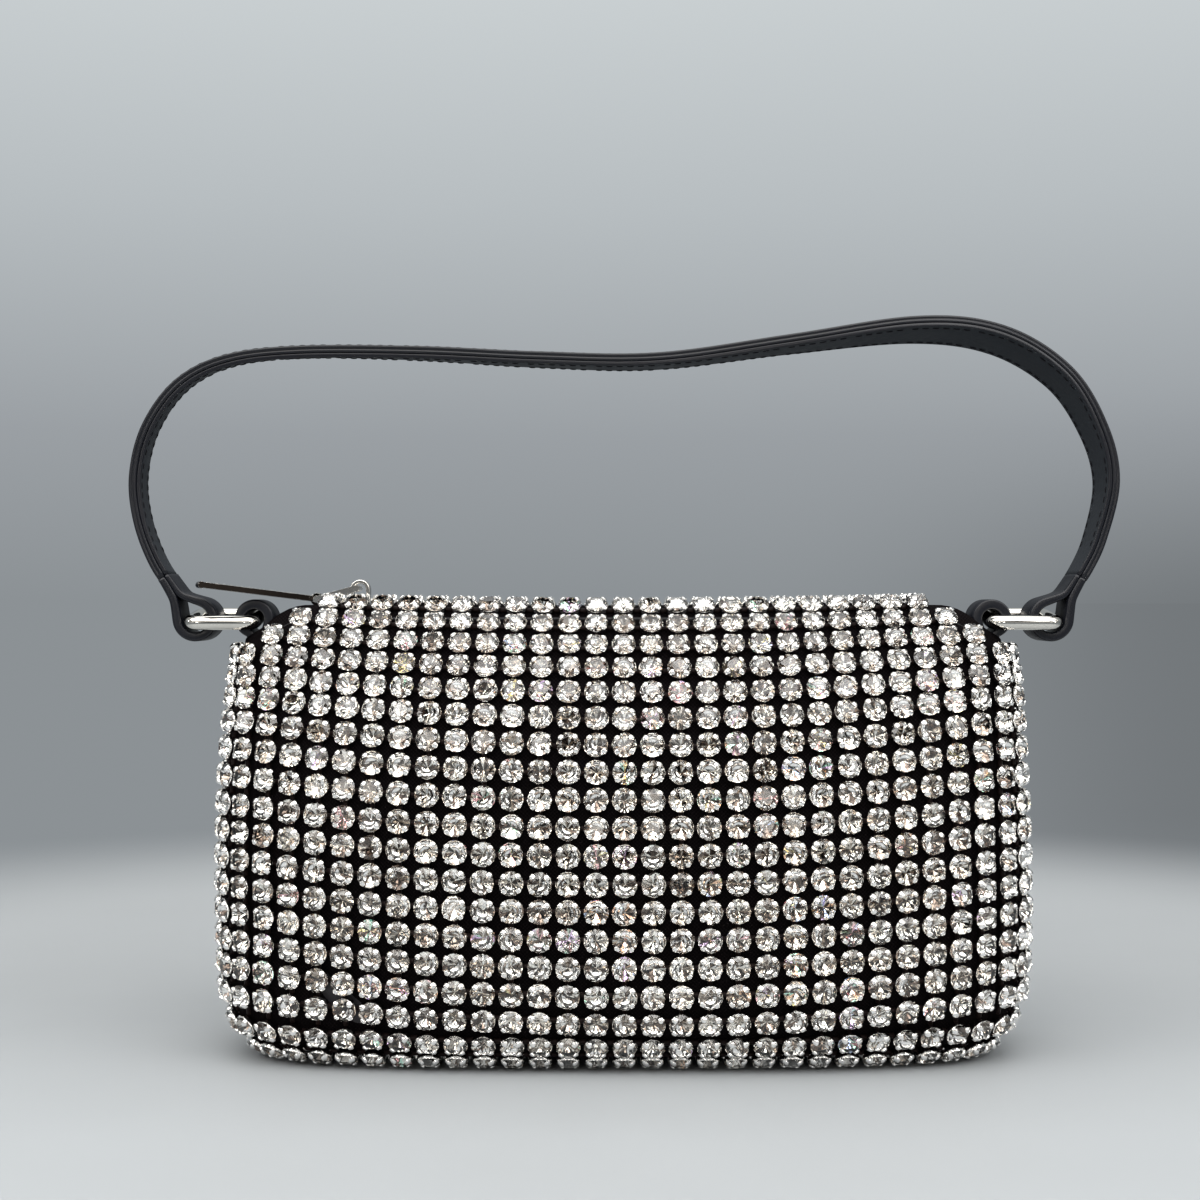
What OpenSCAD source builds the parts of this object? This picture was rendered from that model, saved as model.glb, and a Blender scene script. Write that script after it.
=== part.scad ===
// Zip pouch of black net set all over with round stones, with a short leather strap
// that hangs on two metal rings. Millimetres. X runs along the pouch, the front is -Y,
// Z is up, and the pouch rests on z = 0.

/* [Pouch] */
// Length of the pouch over its net, at the fullest height
body_w = 191.2; // [186:0.2:202]
// Depth of the pouch over its net, at the fullest height
body_d = 66.4; // [62:0.2:72]
// Height of the net's top edge above the floor
body_h = 108.5; // [106:0.5:112]
// How far the rounded bottom edge comes in from the sides
corner_r = 11.5; // [9:0.1:15]
// Height of the rounded bottom edge
corner_h = 19; // [15:0.1:21]
// Thickness of the net
net_t = 1; // [0.8:0.1:1.3]
// How much the middle rows of stones hang in the middle of the front and back
row_sag = 4.6; // [0:0.1:4.8]
// How far the top edge drops from its level run to the corner seams
end_drop = 5.2; // [4.6:0.1:6]
// How far it drops on from the seams to the middle of each end
gusset_drop = 4.2; // [3.7:0.1:4.7]

/* [Stones] */
// Distance between neighbouring stones
stone_pitch = 6.3; // [6:0.05:7]
// Diameter of a stone in its cup
stone_d = 5.5; // [4.6:0.1:5.6]
// Diameter of the flat on top of a stone
table_d = 3.1; // [2:0.1:3.6]
// Height of a stone and its cup over the net
stone_h = 2; // [1.4:0.1:2.4]
// Gap between the net and the underside of a cup
stone_seat = 0.3; // [0.2:0.05:0.4]

/* [Lining] */
// Thickness of the lining
lining_t = 0.6; // [0.4:0.1:1]
// Gap between the lining and the net
lining_gap = 0.5; // [0.4:0.05:0.6]

/* [Zip] */
// How far the zip's tape lies under the net's top edge
tape_drop = 5.4; // [5.3:0.1:5.6]
// Thickness of the tape
tape_t = 0.6; // [0.4:0.1:0.8]
// Half of the length over which the tape lies level
tape_level = 79; // [78:0.5:80]
// How far the ends of the tape bend down
tape_dip = 4; // [3:0.1:4.5]
// Distance between neighbouring teeth on one tape
tooth_pitch = 2.8; // [2.6:0.1:3.2]
// Length of a tooth along the zip
tooth_l = 1.2; // [1:0.05:1.25]
// Height of a tooth
tooth_h = 2; // [1.6:0.1:2.2]
// How far a tooth stands out from its tape
tooth_reach = 3.7; // [3.4:0.1:3.9]
// How far a tooth passes the middle line into the other row
tooth_hook = 0.9; // [0.6:0.1:1]
// Middle of the slider, with the zip closed
slider_x = -66; // [-67:0.5:-65]
// Length of the slider
slider_l = 14; // [13:0.5:15]
// Width of the slider at its front
slider_w = 7.8; // [7.6:0.1:8]
// Thickness of each plate of the slider
plate_t = 1.5; // [1.2:0.1:1.6]
// Travel of the slider from closed to open
slider_travel = 136; // [120:1:138]

/* [Puller] */
// Length of the link from axis to axis
link_l = 10.2; // [9:0.1:11]
// Radius of the link's round end bars
link_bar_r = 0.7; // [0.6:0.05:0.8]
// How far the link slopes down to the puller, in degrees
link_slope = 15.4; // [12:0.2:17]
// Length of the puller from its axis to its tip
pull_l = 29.5; // [26:0.5:31]
// Width of the puller
pull_w = 4; // [3.4:0.1:4.2]
// Thickness of the puller
pull_t = 1.4; // [1.2:0.1:1.6]
// How far the puller points up, in degrees
pull_rise = 7; // [6.5:0.1:9]
// How far the puller is swung to the front, in degrees
pull_yaw = 21; // [20.8:0.1:21.6]

/* [Rings and tabs] */
// Distance from the middle of the pouch to each tab's axis
tab_x = 89.3; // [89:0.1:89.6]
// How far the rings' axes in the tabs lie under the net's top edge
ring_drop = 4.3; // [3.9:0.1:4.5]
// Length of a ring from axis to axis
ring_l = 15.2; // [14.6:0.1:15.4]
// Distance between the middles of a ring's long sides
ring_w = 14.2; // [13.8:0.1:14.6]
// Radius of the rings' wire
ring_r = 1.1; // [1:0.05:1.2]
// How far a ring leans to the front, in degrees
ring_tilt = 7; // [5:0.5:8]
// Radius of the hole in a tab
tab_bore_r = 2.4; // [2.2:0.05:2.6]
// Thickness of the leather of the tabs and the strap's loops
loop_t = 2.4; // [2:0.1:2.6]
// Width of a tab
tab_w = 10; // [9:0.5:10.5]

/* [Strap] */
// Width of the strap
strap_w = 11; // [10:0.1:11.2]
// Thickness of the strap's outer leather
strap_t = 1.9; // [1.6:0.1:2.1]
// Thickness of the strap's lining
strap_lining_t = 1.1; // [0.8:0.1:1.3]
// Half of the distance between the strap's outermost points
strap_reach = 119; // [117:0.5:122]
// Height of the strap's crown over the rings
strap_rise = 71.2; // [64:0.2:80]
// Radius of the hole in a strap loop
loop_bore_r = 3.2; // [3.1:0.05:3.3]
// Height over the rings at which the strap starts to bend
flex_rise = 15.6; // [15.2:0.1:16.4]
// How far the strap lifts before its loops pull on the rings
strap_lift = 7.2; // [6:0.1:7.3]

/* [Hidden] */

// One overrun for every cut, and the step used to take slopes
over = 1;
slope_step = 0.02;
// Running gap between metal pieces, and gap between pieces that only lie together
fit_gap = 0.15;
lay_gap = 0.3;
round_fn = 48;

// Form of the pouch, with the zip and the rings hung from its top edge
half_w = body_w / 2;
half_d = body_d / 2;
tape_z = body_h - tape_drop;
ring_z = body_h - ring_drop;
net_z = stone_h + stone_seat;
full_z = net_z + corner_h;
plan_power = 3.5;
end_taper_share = 0.054;
end_taper_power = 6.2;
side_taper_share = 0.728;
side_taper_power = 2.93;
shoulder_share = 0.11;
shoulder_power = 15.6;
level_share = 0.88;
arc_steps = 36;
rise_steps = 40;

function tuck(z) = 1 - sqrt(max(0, 1 - pow((full_z - z) / corner_h, 2)));
function climb(z) = (z - full_z) / (body_h - full_z);
function half_w_at(z) = z < full_z ? half_w - corner_r * tuck(z)
  : half_w * (1 - end_taper_share * pow(climb(z), end_taper_power));
function half_d_at(z) = z < full_z ? half_d - corner_r * tuck(z)
  : half_d * (1 - side_taper_share * pow(climb(z), side_taper_power)
    - shoulder_share * pow(climb(z), shoulder_power));

// A quarter of the plan outline, from the middle of the front to the middle of the end
function oval(share, a, b) = let (turn = 90 * (1 - share))
  [a * pow(cos(turn), 2 / plan_power), b * pow(sin(turn), 2 / plan_power)];
function quarter(a, b, n) = [for (k = [0 : n]) oval(k / n, a, b)];
function oval_arc(a, b) = let (q = quarter(a, b, arc_steps)) [
  for (k = 0, s = 0; k <= arc_steps; k = k + 1, s = s + norm(q[min(k, arc_steps)] - q[k - 1]))
    [s, q[k].x, q[k].y]
];
function column(rows, c) = [for (r = rows) [r[0], r[c]]];
function quarter_at(z) = oval_arc(half_w_at(z), half_d_at(z))[arc_steps][0];

// Point on the net at arc length s from the middle of the front, in the front right quarter
function net_point(s, z) = let (rows = oval_arc(half_w_at(z), half_d_at(z)))
  [lookup(s, column(rows, 1)), -lookup(s, column(rows, 2)), z];

// Outward direction of the net at a point on it
function slope_w(z) = (half_w_at(z + slope_step) - half_w_at(z)) / slope_step;
function slope_d(z) = (half_d_at(z + slope_step) - half_d_at(z)) / slope_step;
function unit(v) = v / norm(v);
function net_normal(p) = let (
    a = half_w_at(p.z),
    b = half_d_at(p.z),
    fx = pow(abs(p.x) / a, plan_power - 1),
    fy = pow(abs(p.y) / b, plan_power - 1))
  unit([sign(p.x) * fx / a, sign(p.y) * fy / b,
    -fx * abs(p.x) / a * slope_w(p.z) / a - fy * abs(p.y) / b * slope_d(p.z) / b]);

// Arc length up the middle of the front, as pairs of length and height
profile = [
  for (k = [0 : rise_steps]) let (z = full_z - corner_h * cos(90 * k / rise_steps)) [half_d_at(z), z],
  for (k = [1 : rise_steps]) let (z = full_z + (body_h - full_z) * k / rise_steps) [half_d_at(z), z]
];
profile_rows = [
  for (k = 0, s = 0; k < len(profile);
       k = k + 1, s = s + (k < len(profile) ? norm(profile[k] - profile[k - 1]) : 0))
    [s, profile[k][1]]
];
profile_len = profile_rows[len(profile_rows) - 1][0];

// The stone grid: the corner seams lie half a pitch past the outer columns
front_share = 0.75;
side_columns = floor(front_share * quarter_at(full_z) / stone_pitch - 0.5);
seam_s = (side_columns + 0.5) * stone_pitch;
row_count = round(profile_len / stone_pitch);
ridge_share = 1.1;
ridge_power = 5;
function row_share(r) = (r + 0.5) / row_count;
function row_s(r, e) = (r + 0.5) * stone_pitch
  + row_sag * e * e * row_share(r) * (1 - ridge_share * pow(row_share(r), ridge_power));
function row_z(r, e) = lookup(row_s(r, e), profile_rows);

// Height of the net's top edge: e runs from the middle of the front to the seam,
// and f runs from the seam to the middle of the end
seam_top = body_h - end_drop;
end_top = seam_top - gusset_drop;
function front_edge_z(e) = body_h - end_drop * pow(max(0, (e - level_share) / (1 - level_share)), 2);
function end_edge_z(f) = seam_top - gusset_drop * sin(90 * f);

// A sheet between two grids of points, wound so that its outside faces out
module sheet(outside, inside) {
  nu = len(outside);
  nv = len(outside[0]);
  half = nu * nv;
  function at(i, j) = i * nv + j;
  points = [for (line = outside, p = line) p, for (line = inside, p = line) p];
  faces = [
    for (i = [0 : nu - 2], j = [0 : nv - 2]) each [
      [at(i, j), at(i + 1, j + 1), at(i + 1, j)],
      [at(i, j), at(i, j + 1), at(i + 1, j + 1)],
      [half + at(i, j), half + at(i + 1, j), half + at(i + 1, j + 1)],
      [half + at(i, j), half + at(i + 1, j + 1), half + at(i, j + 1)]
    ],
    for (i = [0 : nu - 2]) each [
      [at(i, 0), at(i + 1, 0), half + at(i + 1, 0)],
      [at(i, 0), half + at(i + 1, 0), half + at(i, 0)],
      [at(i, nv - 1), half + at(i, nv - 1), half + at(i + 1, nv - 1)],
      [at(i, nv - 1), half + at(i + 1, nv - 1), at(i + 1, nv - 1)]
    ],
    for (j = [0 : nv - 2]) each [
      [at(0, j), half + at(0, j), half + at(0, j + 1)],
      [at(0, j), half + at(0, j + 1), at(0, j + 1)],
      [at(nu - 1, j), at(nu - 1, j + 1), half + at(nu - 1, j + 1)],
      [at(nu - 1, j), half + at(nu - 1, j + 1), half + at(nu - 1, j)]
    ]
  ];
  polyhedron(points = points, faces = faces);
}

// Net of the front: columns of cells from seam to seam, rows from the bottom to the top edge
front_cells = 26;
height_cells = 20;
low_cell_power = 1.25;
function mirror_x(p, side) = [side * p.x, p.y, p.z];
function cell_s(j) = profile_len * pow(j / height_cells, low_cell_power);
function height_share(j) = (lookup(cell_s(j), profile_rows) - net_z) / (body_h - net_z);
function front_line(u) = let (e = abs(u), side = u < 0 ? -1 : 1) [
  for (j = [0 : height_cells])
    let (z = net_z + (front_edge_z(e) - net_z) * height_share(j))
    mirror_x(net_point(e * seam_s, z), side)
];
function sunk(line) = [for (p = line) p - net_t * net_normal(p)];
module front_panel() {
  outside = [for (i = [0 : front_cells]) front_line(2 * i / front_cells - 1)];
  sheet(outside, [for (line = outside) sunk(line)]);
}

// Net of an end, from the front seam round to the back seam
end_cells = 8;
function end_line(v) = let (f = 1 - abs(v), side = v < 0 ? 1 : -1) [
  for (j = [0 : height_cells])
    let (
      z = net_z + (end_edge_z(f) - net_z) * height_share(j),
      p = net_point(seam_s + f * (quarter_at(z) - seam_s), z))
    [p.x, side * p.y, p.z]
];
module end_panel() {
  outside = [for (i = [0 : end_cells]) end_line(2 * i / end_cells - 1)];
  sheet(outside, [for (line = outside) sunk(line)]);
}

module front_net() { color("#15131a") front_panel(); }
module back_net() { color("#15131a") rotate([0, 0, 180]) front_panel(); }
module right_gusset_net() { color("#15131a") end_panel(); }
module left_gusset_net() { color("#15131a") rotate([0, 0, 180]) end_panel(); }

// Flat net under the pouch, inside the rounded edge
function outline(a, b, n) = let (q = quarter(a, b, n)) [
  for (k = [0 : n]) [q[k].x, -q[k].y],
  for (k = [1 : n]) [q[n - k].x, q[n - k].y],
  for (k = [1 : n]) [-q[k].x, q[k].y],
  for (k = [1 : n - 1]) [-q[n - k].x, -q[n - k].y]
];
floor_w = half_w - corner_r;
floor_d = half_d - corner_r;
module bottom_net() {
  color("#15131a")
    translate([0, 0, net_z])
      linear_extrude(net_t)
        polygon(outline(floor_w - lay_gap, floor_d - lay_gap, arc_steps));
}

// A stone in its cup, standing on the net at p and facing along n
module stone(p, n) {
  translate(p + n * stone_seat)
    rotate([0, acos(n.z), atan2(n.y, n.x)])
      cylinder(h = stone_h, r1 = stone_d / 2, r2 = table_d / 2, $fn = 16);
}

// Stones of the front: a row that comes too near the top edge towards a seam stops there
ridge_margin = 0.2;
module front_stone_grid() {
  for (r = [0 : row_count - 1], i = [-side_columns : side_columns]) {
    e = abs(i) * stone_pitch / seam_s;
    z = row_z(r, e);
    p = mirror_x(net_point(e * seam_s, z), i < 0 ? -1 : 1);
    if (z < front_edge_z(e) - ridge_margin) stone(p, net_normal(p));
  }
}

// Stones of an end: each row is spread evenly between the seams, with fewer stones higher up
end_stone_top = end_top - stone_d / 2;
end_pitch_min = stone_d + 2 * lay_gap;
module end_stone_grid() {
  for (r = [0 : row_count - 1]) {
    z = row_z(r, 1);
    reach = z < end_stone_top ? quarter_at(z) - seam_s : 0;
    n = floor(2 * reach / end_pitch_min);
    if (n > 0)
      for (j = [0 : n - 1]) {
        offset_s = reach * ((2 * j + 1) / n - 1);
        q = net_point(seam_s + reach - abs(offset_s), z);
        p = [q.x, offset_s < 0 ? q.y : -q.y, z];
        stone(p, net_normal(p));
      }
  }
}

module front_stones() { color("#dfe3ea") front_stone_grid(); }
module back_stones() { color("#dfe3ea") rotate([0, 0, 180]) front_stone_grid(); }
module right_gusset_stones() { color("#dfe3ea") end_stone_grid(); }
module left_gusset_stones() { color("#dfe3ea") rotate([0, 0, 180]) end_stone_grid(); }

// Stones under the pouch. The eight that carry it lie near its corners
floor_rows = floor((floor_d - stone_d / 2) / stone_pitch + 0.5);
floor_columns = floor((floor_w - stone_d / 2) / stone_pitch);
function on_floor(x, y) =
  pow(abs(x) / (floor_w - stone_d / 2), plan_power)
  + pow(abs(y) / (floor_d - stone_d / 2), plan_power) < 1;
foot_share = 0.6;
foot_column = floor(floor_columns * foot_share);
function is_foot(i, j) =
  (abs(i) == foot_column && j == floor_rows - 1) || (abs(i) == floor_columns - 1 && j == 0);
module floor_stone_grid(feet) {
  for (i = [-floor_columns : floor_columns], j = [0 : floor_rows - 1], side = [-1, 1]) {
    x = i * stone_pitch;
    y = side * (j + 0.5) * stone_pitch;
    if (on_floor(x, y) && is_foot(i, j) == feet) stone([x, y, net_z], [0, 0, -1]);
  }
}
module bottom_stones() { color("#dfe3ea") floor_stone_grid(false); }
module base_stones() { color("#dfe3ea") floor_stone_grid(true); }

// Height of the underside of the zip's tape: level, then bent down to the ends
tape_end = tab_x - loop_t - lay_gap;
function tape_at(x) = tape_z
  - tape_dip * max(0, abs(x) - tape_level) / (tape_end - tape_level);

// Cloth lining: a bag that follows the inside of the net and hangs from the tape
lining_levels = 9;
lining_floor = net_z + net_t + lining_gap;
lining_out = net_t + lining_gap;
tail_low = end_top - loop_t;
lining_steps = 9;
module lining_form(inset, low, high) {
  rings = [
    for (k = [0 : lining_levels])
      let (
        z = low + (high - low) * k / lining_levels,
        in_w = inset * norm([1, slope_w(z)]),
        in_d = inset * norm([1, slope_d(z)]))
      [for (q = outline(half_w_at(z) - in_w, half_d_at(z) - in_d, lining_steps)) [q.x, q.y, z]]
  ];
  loft(rings);
}

// A solid through closed rings of points, one above the other
module loft(rings) {
  n = len(rings[0]);
  top = len(rings) - 1;
  points = [for (ring = rings, p = ring) p];
  faces = [
    [for (i = [0 : n - 1]) i],
    for (k = [0 : top - 1], i = [0 : n - 1]) let (m = (i + 1) % n) each [
      [k * n + i, (k + 1) * n + i, (k + 1) * n + m],
      [k * n + i, (k + 1) * n + m, k * n + m]
    ],
    [for (i = [n - 1 : -1 : 0]) top * n + i]
  ];
  polyhedron(points = points, faces = faces);
}

// What lies under the tape and clear of the tabs' tails
module under_tape() {
  reach = half_w + over;
  step_x = tape_end - lay_gap;
  rotate([90, 0, 0])
    linear_extrude(body_d, center = true)
      polygon([
        [-reach, 0], [reach, 0], [reach, tail_low - lay_gap], [step_x, tail_low - lay_gap],
        [step_x, tape_at(step_x) - lay_gap], [tape_level, tape_z - lay_gap],
        [-tape_level, tape_z - lay_gap], [-step_x, tape_at(step_x) - lay_gap],
        [-step_x, tail_low - lay_gap], [-reach, tail_low - lay_gap]
      ]);
}
module lining() {
  color("#2b2930")
    intersection() {
      difference() {
        lining_form(lining_out, lining_floor, tape_z);
        lining_form(lining_out + lining_t, lining_floor + lining_t, tape_z + over);
      }
      under_tape();
    }
}

// Zip tape of one side: a strip that fills the space from the teeth to the net
tape_steps = 24;
tooth_root = tooth_reach - tooth_hook;
tape_inner = tooth_root + lay_gap / 2;
wall_slope = 1.6;
tape_outset = net_t * wall_slope + lay_gap;
function tape_edge(x) = let (
    z = tape_at(x) + tape_t,
    a = half_w_at(z) - tape_outset,
    b = half_d_at(z) - tape_outset)
  b * pow(1 - pow(abs(x) / a, plan_power), 1 / plan_power);
module tape_side() {
  intersection() {
    translate([0, 0, tape_z - tape_dip - over])
      linear_extrude(tape_dip + tape_t + 2 * over)
        polygon([
          [-tape_end, -tape_inner],
          for (k = [0 : tape_steps])
            let (x = tape_end * (2 * k / tape_steps - 1)) [x, -tape_edge(x)],
          [tape_end, -tape_inner]
        ]);
    rotate([90, 0, 0])
      linear_extrude(body_d)
        polygon([
          [-tape_end, tape_at(tape_end)], [-tape_level, tape_z], [tape_level, tape_z],
          [tape_end, tape_at(tape_end)], [tape_end, tape_at(tape_end) + tape_t],
          [tape_level, tape_z + tape_t], [-tape_level, tape_z + tape_t],
          [-tape_end, tape_at(tape_end) + tape_t]
        ]);
  }
}
module zip_tape_front() { color("#1b1a1f") tape_side(); }
module zip_tape_back() { color("#1b1a1f") mirror([0, 1, 0]) tape_side(); }

// Teeth: each is a block with a round nose that hooks between two teeth of the other row.
// A row is moulded in one piece along a bead at the edge of its tape
chain_z = tape_z + tape_t / 2;
post_l = 2.6;
post_w = 2.4;
slider_low_x = slider_x - slider_l / 2;
chain_start = slider_low_x + post_l + lay_gap;
stop_l = 1.8;
chain_end = slider_x + slider_l / 2 + slider_travel + lay_gap;
tooth_count = floor((chain_end - chain_start) / tooth_pitch);
module tooth() {
  nose = tooth_l / 2;
  translate([0, 0, chain_z - tooth_h / 2]) {
    translate([0, -tooth_root, 0]) cube([tooth_l, tooth_reach - nose, tooth_h]);
    translate([nose, tooth_hook - nose, 0]) cylinder(h = tooth_h, r = nose, $fn = 24);
  }
}
bead_w = 0.8;
bead_h = 1;
module tooth_row() {
  for (k = [0 : tooth_count - 1]) translate([chain_start + k * tooth_pitch, 0, 0]) tooth();
  translate([chain_start, -tooth_root, chain_z - bead_h / 2])
    cube([(tooth_count - 1) * tooth_pitch + tooth_l, bead_w, bead_h]);
}
module zip_teeth_front() { color("#8f9196") tooth_row(); }
module zip_teeth_back() {
  color("#8f9196")
    translate([tooth_pitch / 2, 0, 0])
      mirror([0, 1, 0]) tooth_row();
}

// Stops: two at the closed end, one on each tape, and a wide one at the open end
module zip_stops() {
  color("#b9bcc2") {
    for (side = [-1, 1])
      translate([slider_low_x - lay_gap - stop_l,
                 side * (post_w / 2 + stop_l / 2) - stop_l / 2, chain_z + tape_t / 2])
        cube([stop_l, stop_l, tooth_h / 2]);
    translate([chain_end + tooth_pitch, -tooth_root, chain_z - tooth_h / 2])
      cube([stop_l, 2 * tooth_root, tooth_h]);
  }
}

// Slider body: two plates with turned-in edges, joined by a post at the front
channel_gap = 0.36;
channel_h = tooth_h + 2 * channel_gap;
plate_low = chain_z - channel_h / 2 - plate_t;
plate_high = chain_z + channel_h / 2;
slot_h = tape_t + 2 * lay_gap;
edge_t = 0.8;
waist_share = 0.92;
module slider_outline() {
  l = slider_l / 2;
  w = slider_w / 2;
  nip = w / 3;
  waist = w * waist_share;
  polygon([
    [-l, -(w - nip)], [-l + nip, -w], [0, -w], [l - nip, -waist], [l, -(waist - nip)],
    [l, waist - nip], [l - nip, waist], [0, w], [-l + nip, w], [-l, w - nip]
  ]);
}
module slider_body() {
  color("#d6d7da")
    translate([slider_x, 0, 0])
      difference() {
        translate([0, 0, plate_low]) linear_extrude(channel_h + 2 * plate_t) slider_outline();
        difference() {
          translate([-slider_l / 2 - over, -(slider_w / 2 - edge_t), plate_low + plate_t])
            cube([slider_l + 2 * over, slider_w - 2 * edge_t, channel_h]);
          translate([-slider_l / 2, -post_w / 2, plate_low])
            cube([post_l, post_w, channel_h + 2 * plate_t]);
        }
        for (side = [-1, 1])
          translate([-slider_l / 2 - over, side * slider_w / 2 - edge_t - over, chain_z - slot_h / 2])
            cube([slider_l + 2 * over, 2 * (edge_t + over), slot_h]);
      }
}

// Crown: an arched lug on the upper plate, with the window that holds the link
crown_top = plate_high + plate_t;
crown_window_r = 1.5;
crown_t = 0.9;
crown_r = crown_window_r + crown_t;
crown_w = 3.2;
crown_shift = 1.2;
crown_rise = 4.5;
link_x = slider_x + crown_shift;
link_z = crown_top + crown_t + crown_rise;
crown_x = link_x + crown_window_r - link_bar_r - fit_gap;
crown_axis_z = link_z - (crown_window_r - link_bar_r - fit_gap) / 2;
module slider_crown() {
  color("#d6d7da")
    rotate([90, 0, 0])
      linear_extrude(crown_w, center = true)
        difference() {
          union() {
            translate([crown_x, crown_axis_z]) circle(r = crown_r, $fn = round_fn);
            translate([crown_x - crown_r, crown_top]) square([2 * crown_r, crown_axis_z - crown_top]);
          }
          translate([crown_x, crown_axis_z]) circle(r = crown_window_r, $fn = round_fn);
          translate([crown_x - crown_window_r, crown_top + crown_t])
            square([2 * crown_window_r, crown_axis_z - crown_top - crown_t]);
        }
}

// Link: two flat arms joined by round bars, one in the crown and one in the puller's eye
arm_w = 1;
arm_t = 1.5;
arm_in = crown_w / 2 + lay_gap;
pull_x = link_x - link_l * cos(link_slope);
pull_z = link_z - link_l * sin(link_slope);
module pull_link() {
  color("#d6d7da")
    translate([link_x, 0, link_z])
      rotate([0, -link_slope, 0]) {
        for (side = [-1, 1])
          translate([0, side * (arm_in + arm_w / 2), 0])
            rotate([90, 0, 0])
              linear_extrude(arm_w, center = true)
                union() {
                  circle(r = arm_t / 2, $fn = round_fn);
                  translate([-link_l, 0]) circle(r = arm_t / 2, $fn = round_fn);
                  translate([-link_l, -arm_t / 2]) square([link_l, arm_t]);
                }
        for (x = [0, -link_l])
          translate([x, 0, 0])
            rotate([90, 0, 0])
              cylinder(h = 2 * arm_in + arm_w, r = link_bar_r, center = true, $fn = round_fn);
      }
}

// Puller: a flat bar with a rolled tip and an eye that turns on the link's outer bar
eye_w = 2 * arm_in - 2 * lay_gap;
eye_bore_r = link_bar_r + fit_gap;
eye_t = 0.7;
tip_share = 0.6;
tip_r = pull_t * tip_share;
module pull_bar() {
  color("#d6d7da")
    translate([pull_x, 0, pull_z])
      difference() {
        union() {
          rotate([90, 0, 0])
            cylinder(h = eye_w, r = eye_bore_r + eye_t, center = true, $fn = round_fn);
          rotate([0, 0, pull_yaw])
            rotate([0, pull_rise, 0]) {
              translate([-pull_l + tip_r, -pull_w / 2, -pull_t / 2])
                cube([pull_l - tip_r - eye_bore_r - eye_w / 2, pull_w, pull_t]);
              translate([-eye_bore_r - eye_w, -eye_w / 2 + lay_gap, -pull_t / 2])
                cube([eye_w, eye_w - 2 * lay_gap, pull_t]);
              translate([-pull_l + tip_r, 0, 0])
                rotate([90, 0, 0]) cylinder(h = pull_w, r = tip_r, center = true, $fn = round_fn);
            }
        }
        rotate([90, 0, 0])
          cylinder(h = eye_w + 2 * over, r = eye_bore_r, center = true, $fn = round_fn);
      }
}

// Leather tab: a band round the ring's inner bar, with its tail sewn into the end of the pouch
tail_in = tab_x - loop_t;
function plan_x(y, z) = half_w_at(z) * pow(1 - pow(y / half_d_at(z), plan_power), 1 / plan_power);
end_slope = 1.2;
tail_out = plan_x(tab_w / 2, end_top) - net_t * end_slope - lay_gap;
module tab() {
  rotate([90, 0, 0])
    linear_extrude(tab_w, center = true)
      difference() {
        union() {
          translate([tab_x, ring_z]) circle(r = tab_bore_r + loop_t, $fn = round_fn);
          translate([tail_in, tail_low]) square([tail_out - tail_in, ring_z - tail_low]);
        }
        translate([tab_x, ring_z]) circle(r = tab_bore_r, $fn = round_fn);
      }
}
module tab_right() { color("#1d1c20") tab(); }
module tab_left() { color("#1d1c20") mirror([1, 0, 0]) tab(); }

// Rectangular ring of round wire, with quarter bends at its corners
bend_r = 2.4;
module ring() {
  straight_l = ring_l - 2 * bend_r;
  straight_w = ring_w - 2 * bend_r;
  translate([tab_x, 0, ring_z])
    rotate([ring_tilt, 0, 0])
      translate([ring_l / 2, 0, 0]) {
        for (side = [-1, 1]) {
          translate([0, side * ring_w / 2, 0])
            rotate([0, 90, 0]) cylinder(h = straight_l, r = ring_r, center = true, $fn = round_fn);
          translate([side * ring_l / 2, 0, 0])
            rotate([90, 0, 0]) cylinder(h = straight_w, r = ring_r, center = true, $fn = round_fn);
        }
        for (turn = [0 : 3]) {
          right = turn == 0 || turn == 3 ? 1 : -1;
          back = turn < 2 ? 1 : -1;
          translate([right * straight_l / 2, back * straight_w / 2, 0])
            rotate([0, 0, 90 * turn])
              rotate_extrude(angle = 90, $fn = round_fn)
                translate([bend_r, 0]) circle(r = ring_r, $fn = round_fn);
        }
      }
}
module ring_right() { color("#d6d7da") ring(); }
module ring_left() { color("#d6d7da") mirror([1, 0, 0]) ring(); }

// Route of the strap, as shares of its reach and rise, from the left ring to the right one
route_shares = [
  [-0.905, 0.065], [-0.955, 0.18], [-0.99, 0.33], [-1, 0.49], [-0.975, 0.66], [-0.91, 0.81],
  [-0.81, 0.895], [-0.66, 0.925], [-0.42, 0.92], [-0.17, 0.898], [0.07, 0.893], [0.34, 0.95],
  [0.6, 1], [0.77, 0.965], [0.9, 0.835], [0.972, 0.65], [0.998, 0.47], [0.975, 0.28],
  [0.945, 0.165], [0.905, 0.065]
];
route = [for (q = route_shares) [q.x * strap_reach, ring_z + q.y * strap_rise]];
route_steps = 4;
function spline(a, b, c, d, t) =
  (2 * b + (c - a) * t + (2 * a - 5 * b + 4 * c - d) * t * t
    + (3 * b - a - 3 * c + d) * t * t * t) / 2;
last = len(route) - 1;
route_fine = [
  for (k = [0 : last - 1], m = [0 : route_steps - 1])
    spline(route[max(k - 1, 0)], route[k], route[k + 1], route[min(k + 2, last)], m / route_steps),
  route[last]
];
flex_z = ring_z + flex_rise;
function crossing(a, b) = a + (b - a) * (flex_z - a.y) / (b.y - a.y);
strap_line = [
  for (k = [1 : len(route_fine) - 1])
    let (a = route_fine[k - 1], b = route_fine[k])
    each [if ((a.y < flex_z) != (b.y < flex_z)) crossing(a, b), if (b.y > flex_z + lay_gap) b]
];
count = len(strap_line);
function line_normal(k) = let (
    d = unit(strap_line[min(k + 1, count - 1)] - strap_line[max(k - 1, 0)]))
  [-d.y, d.x];
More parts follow.
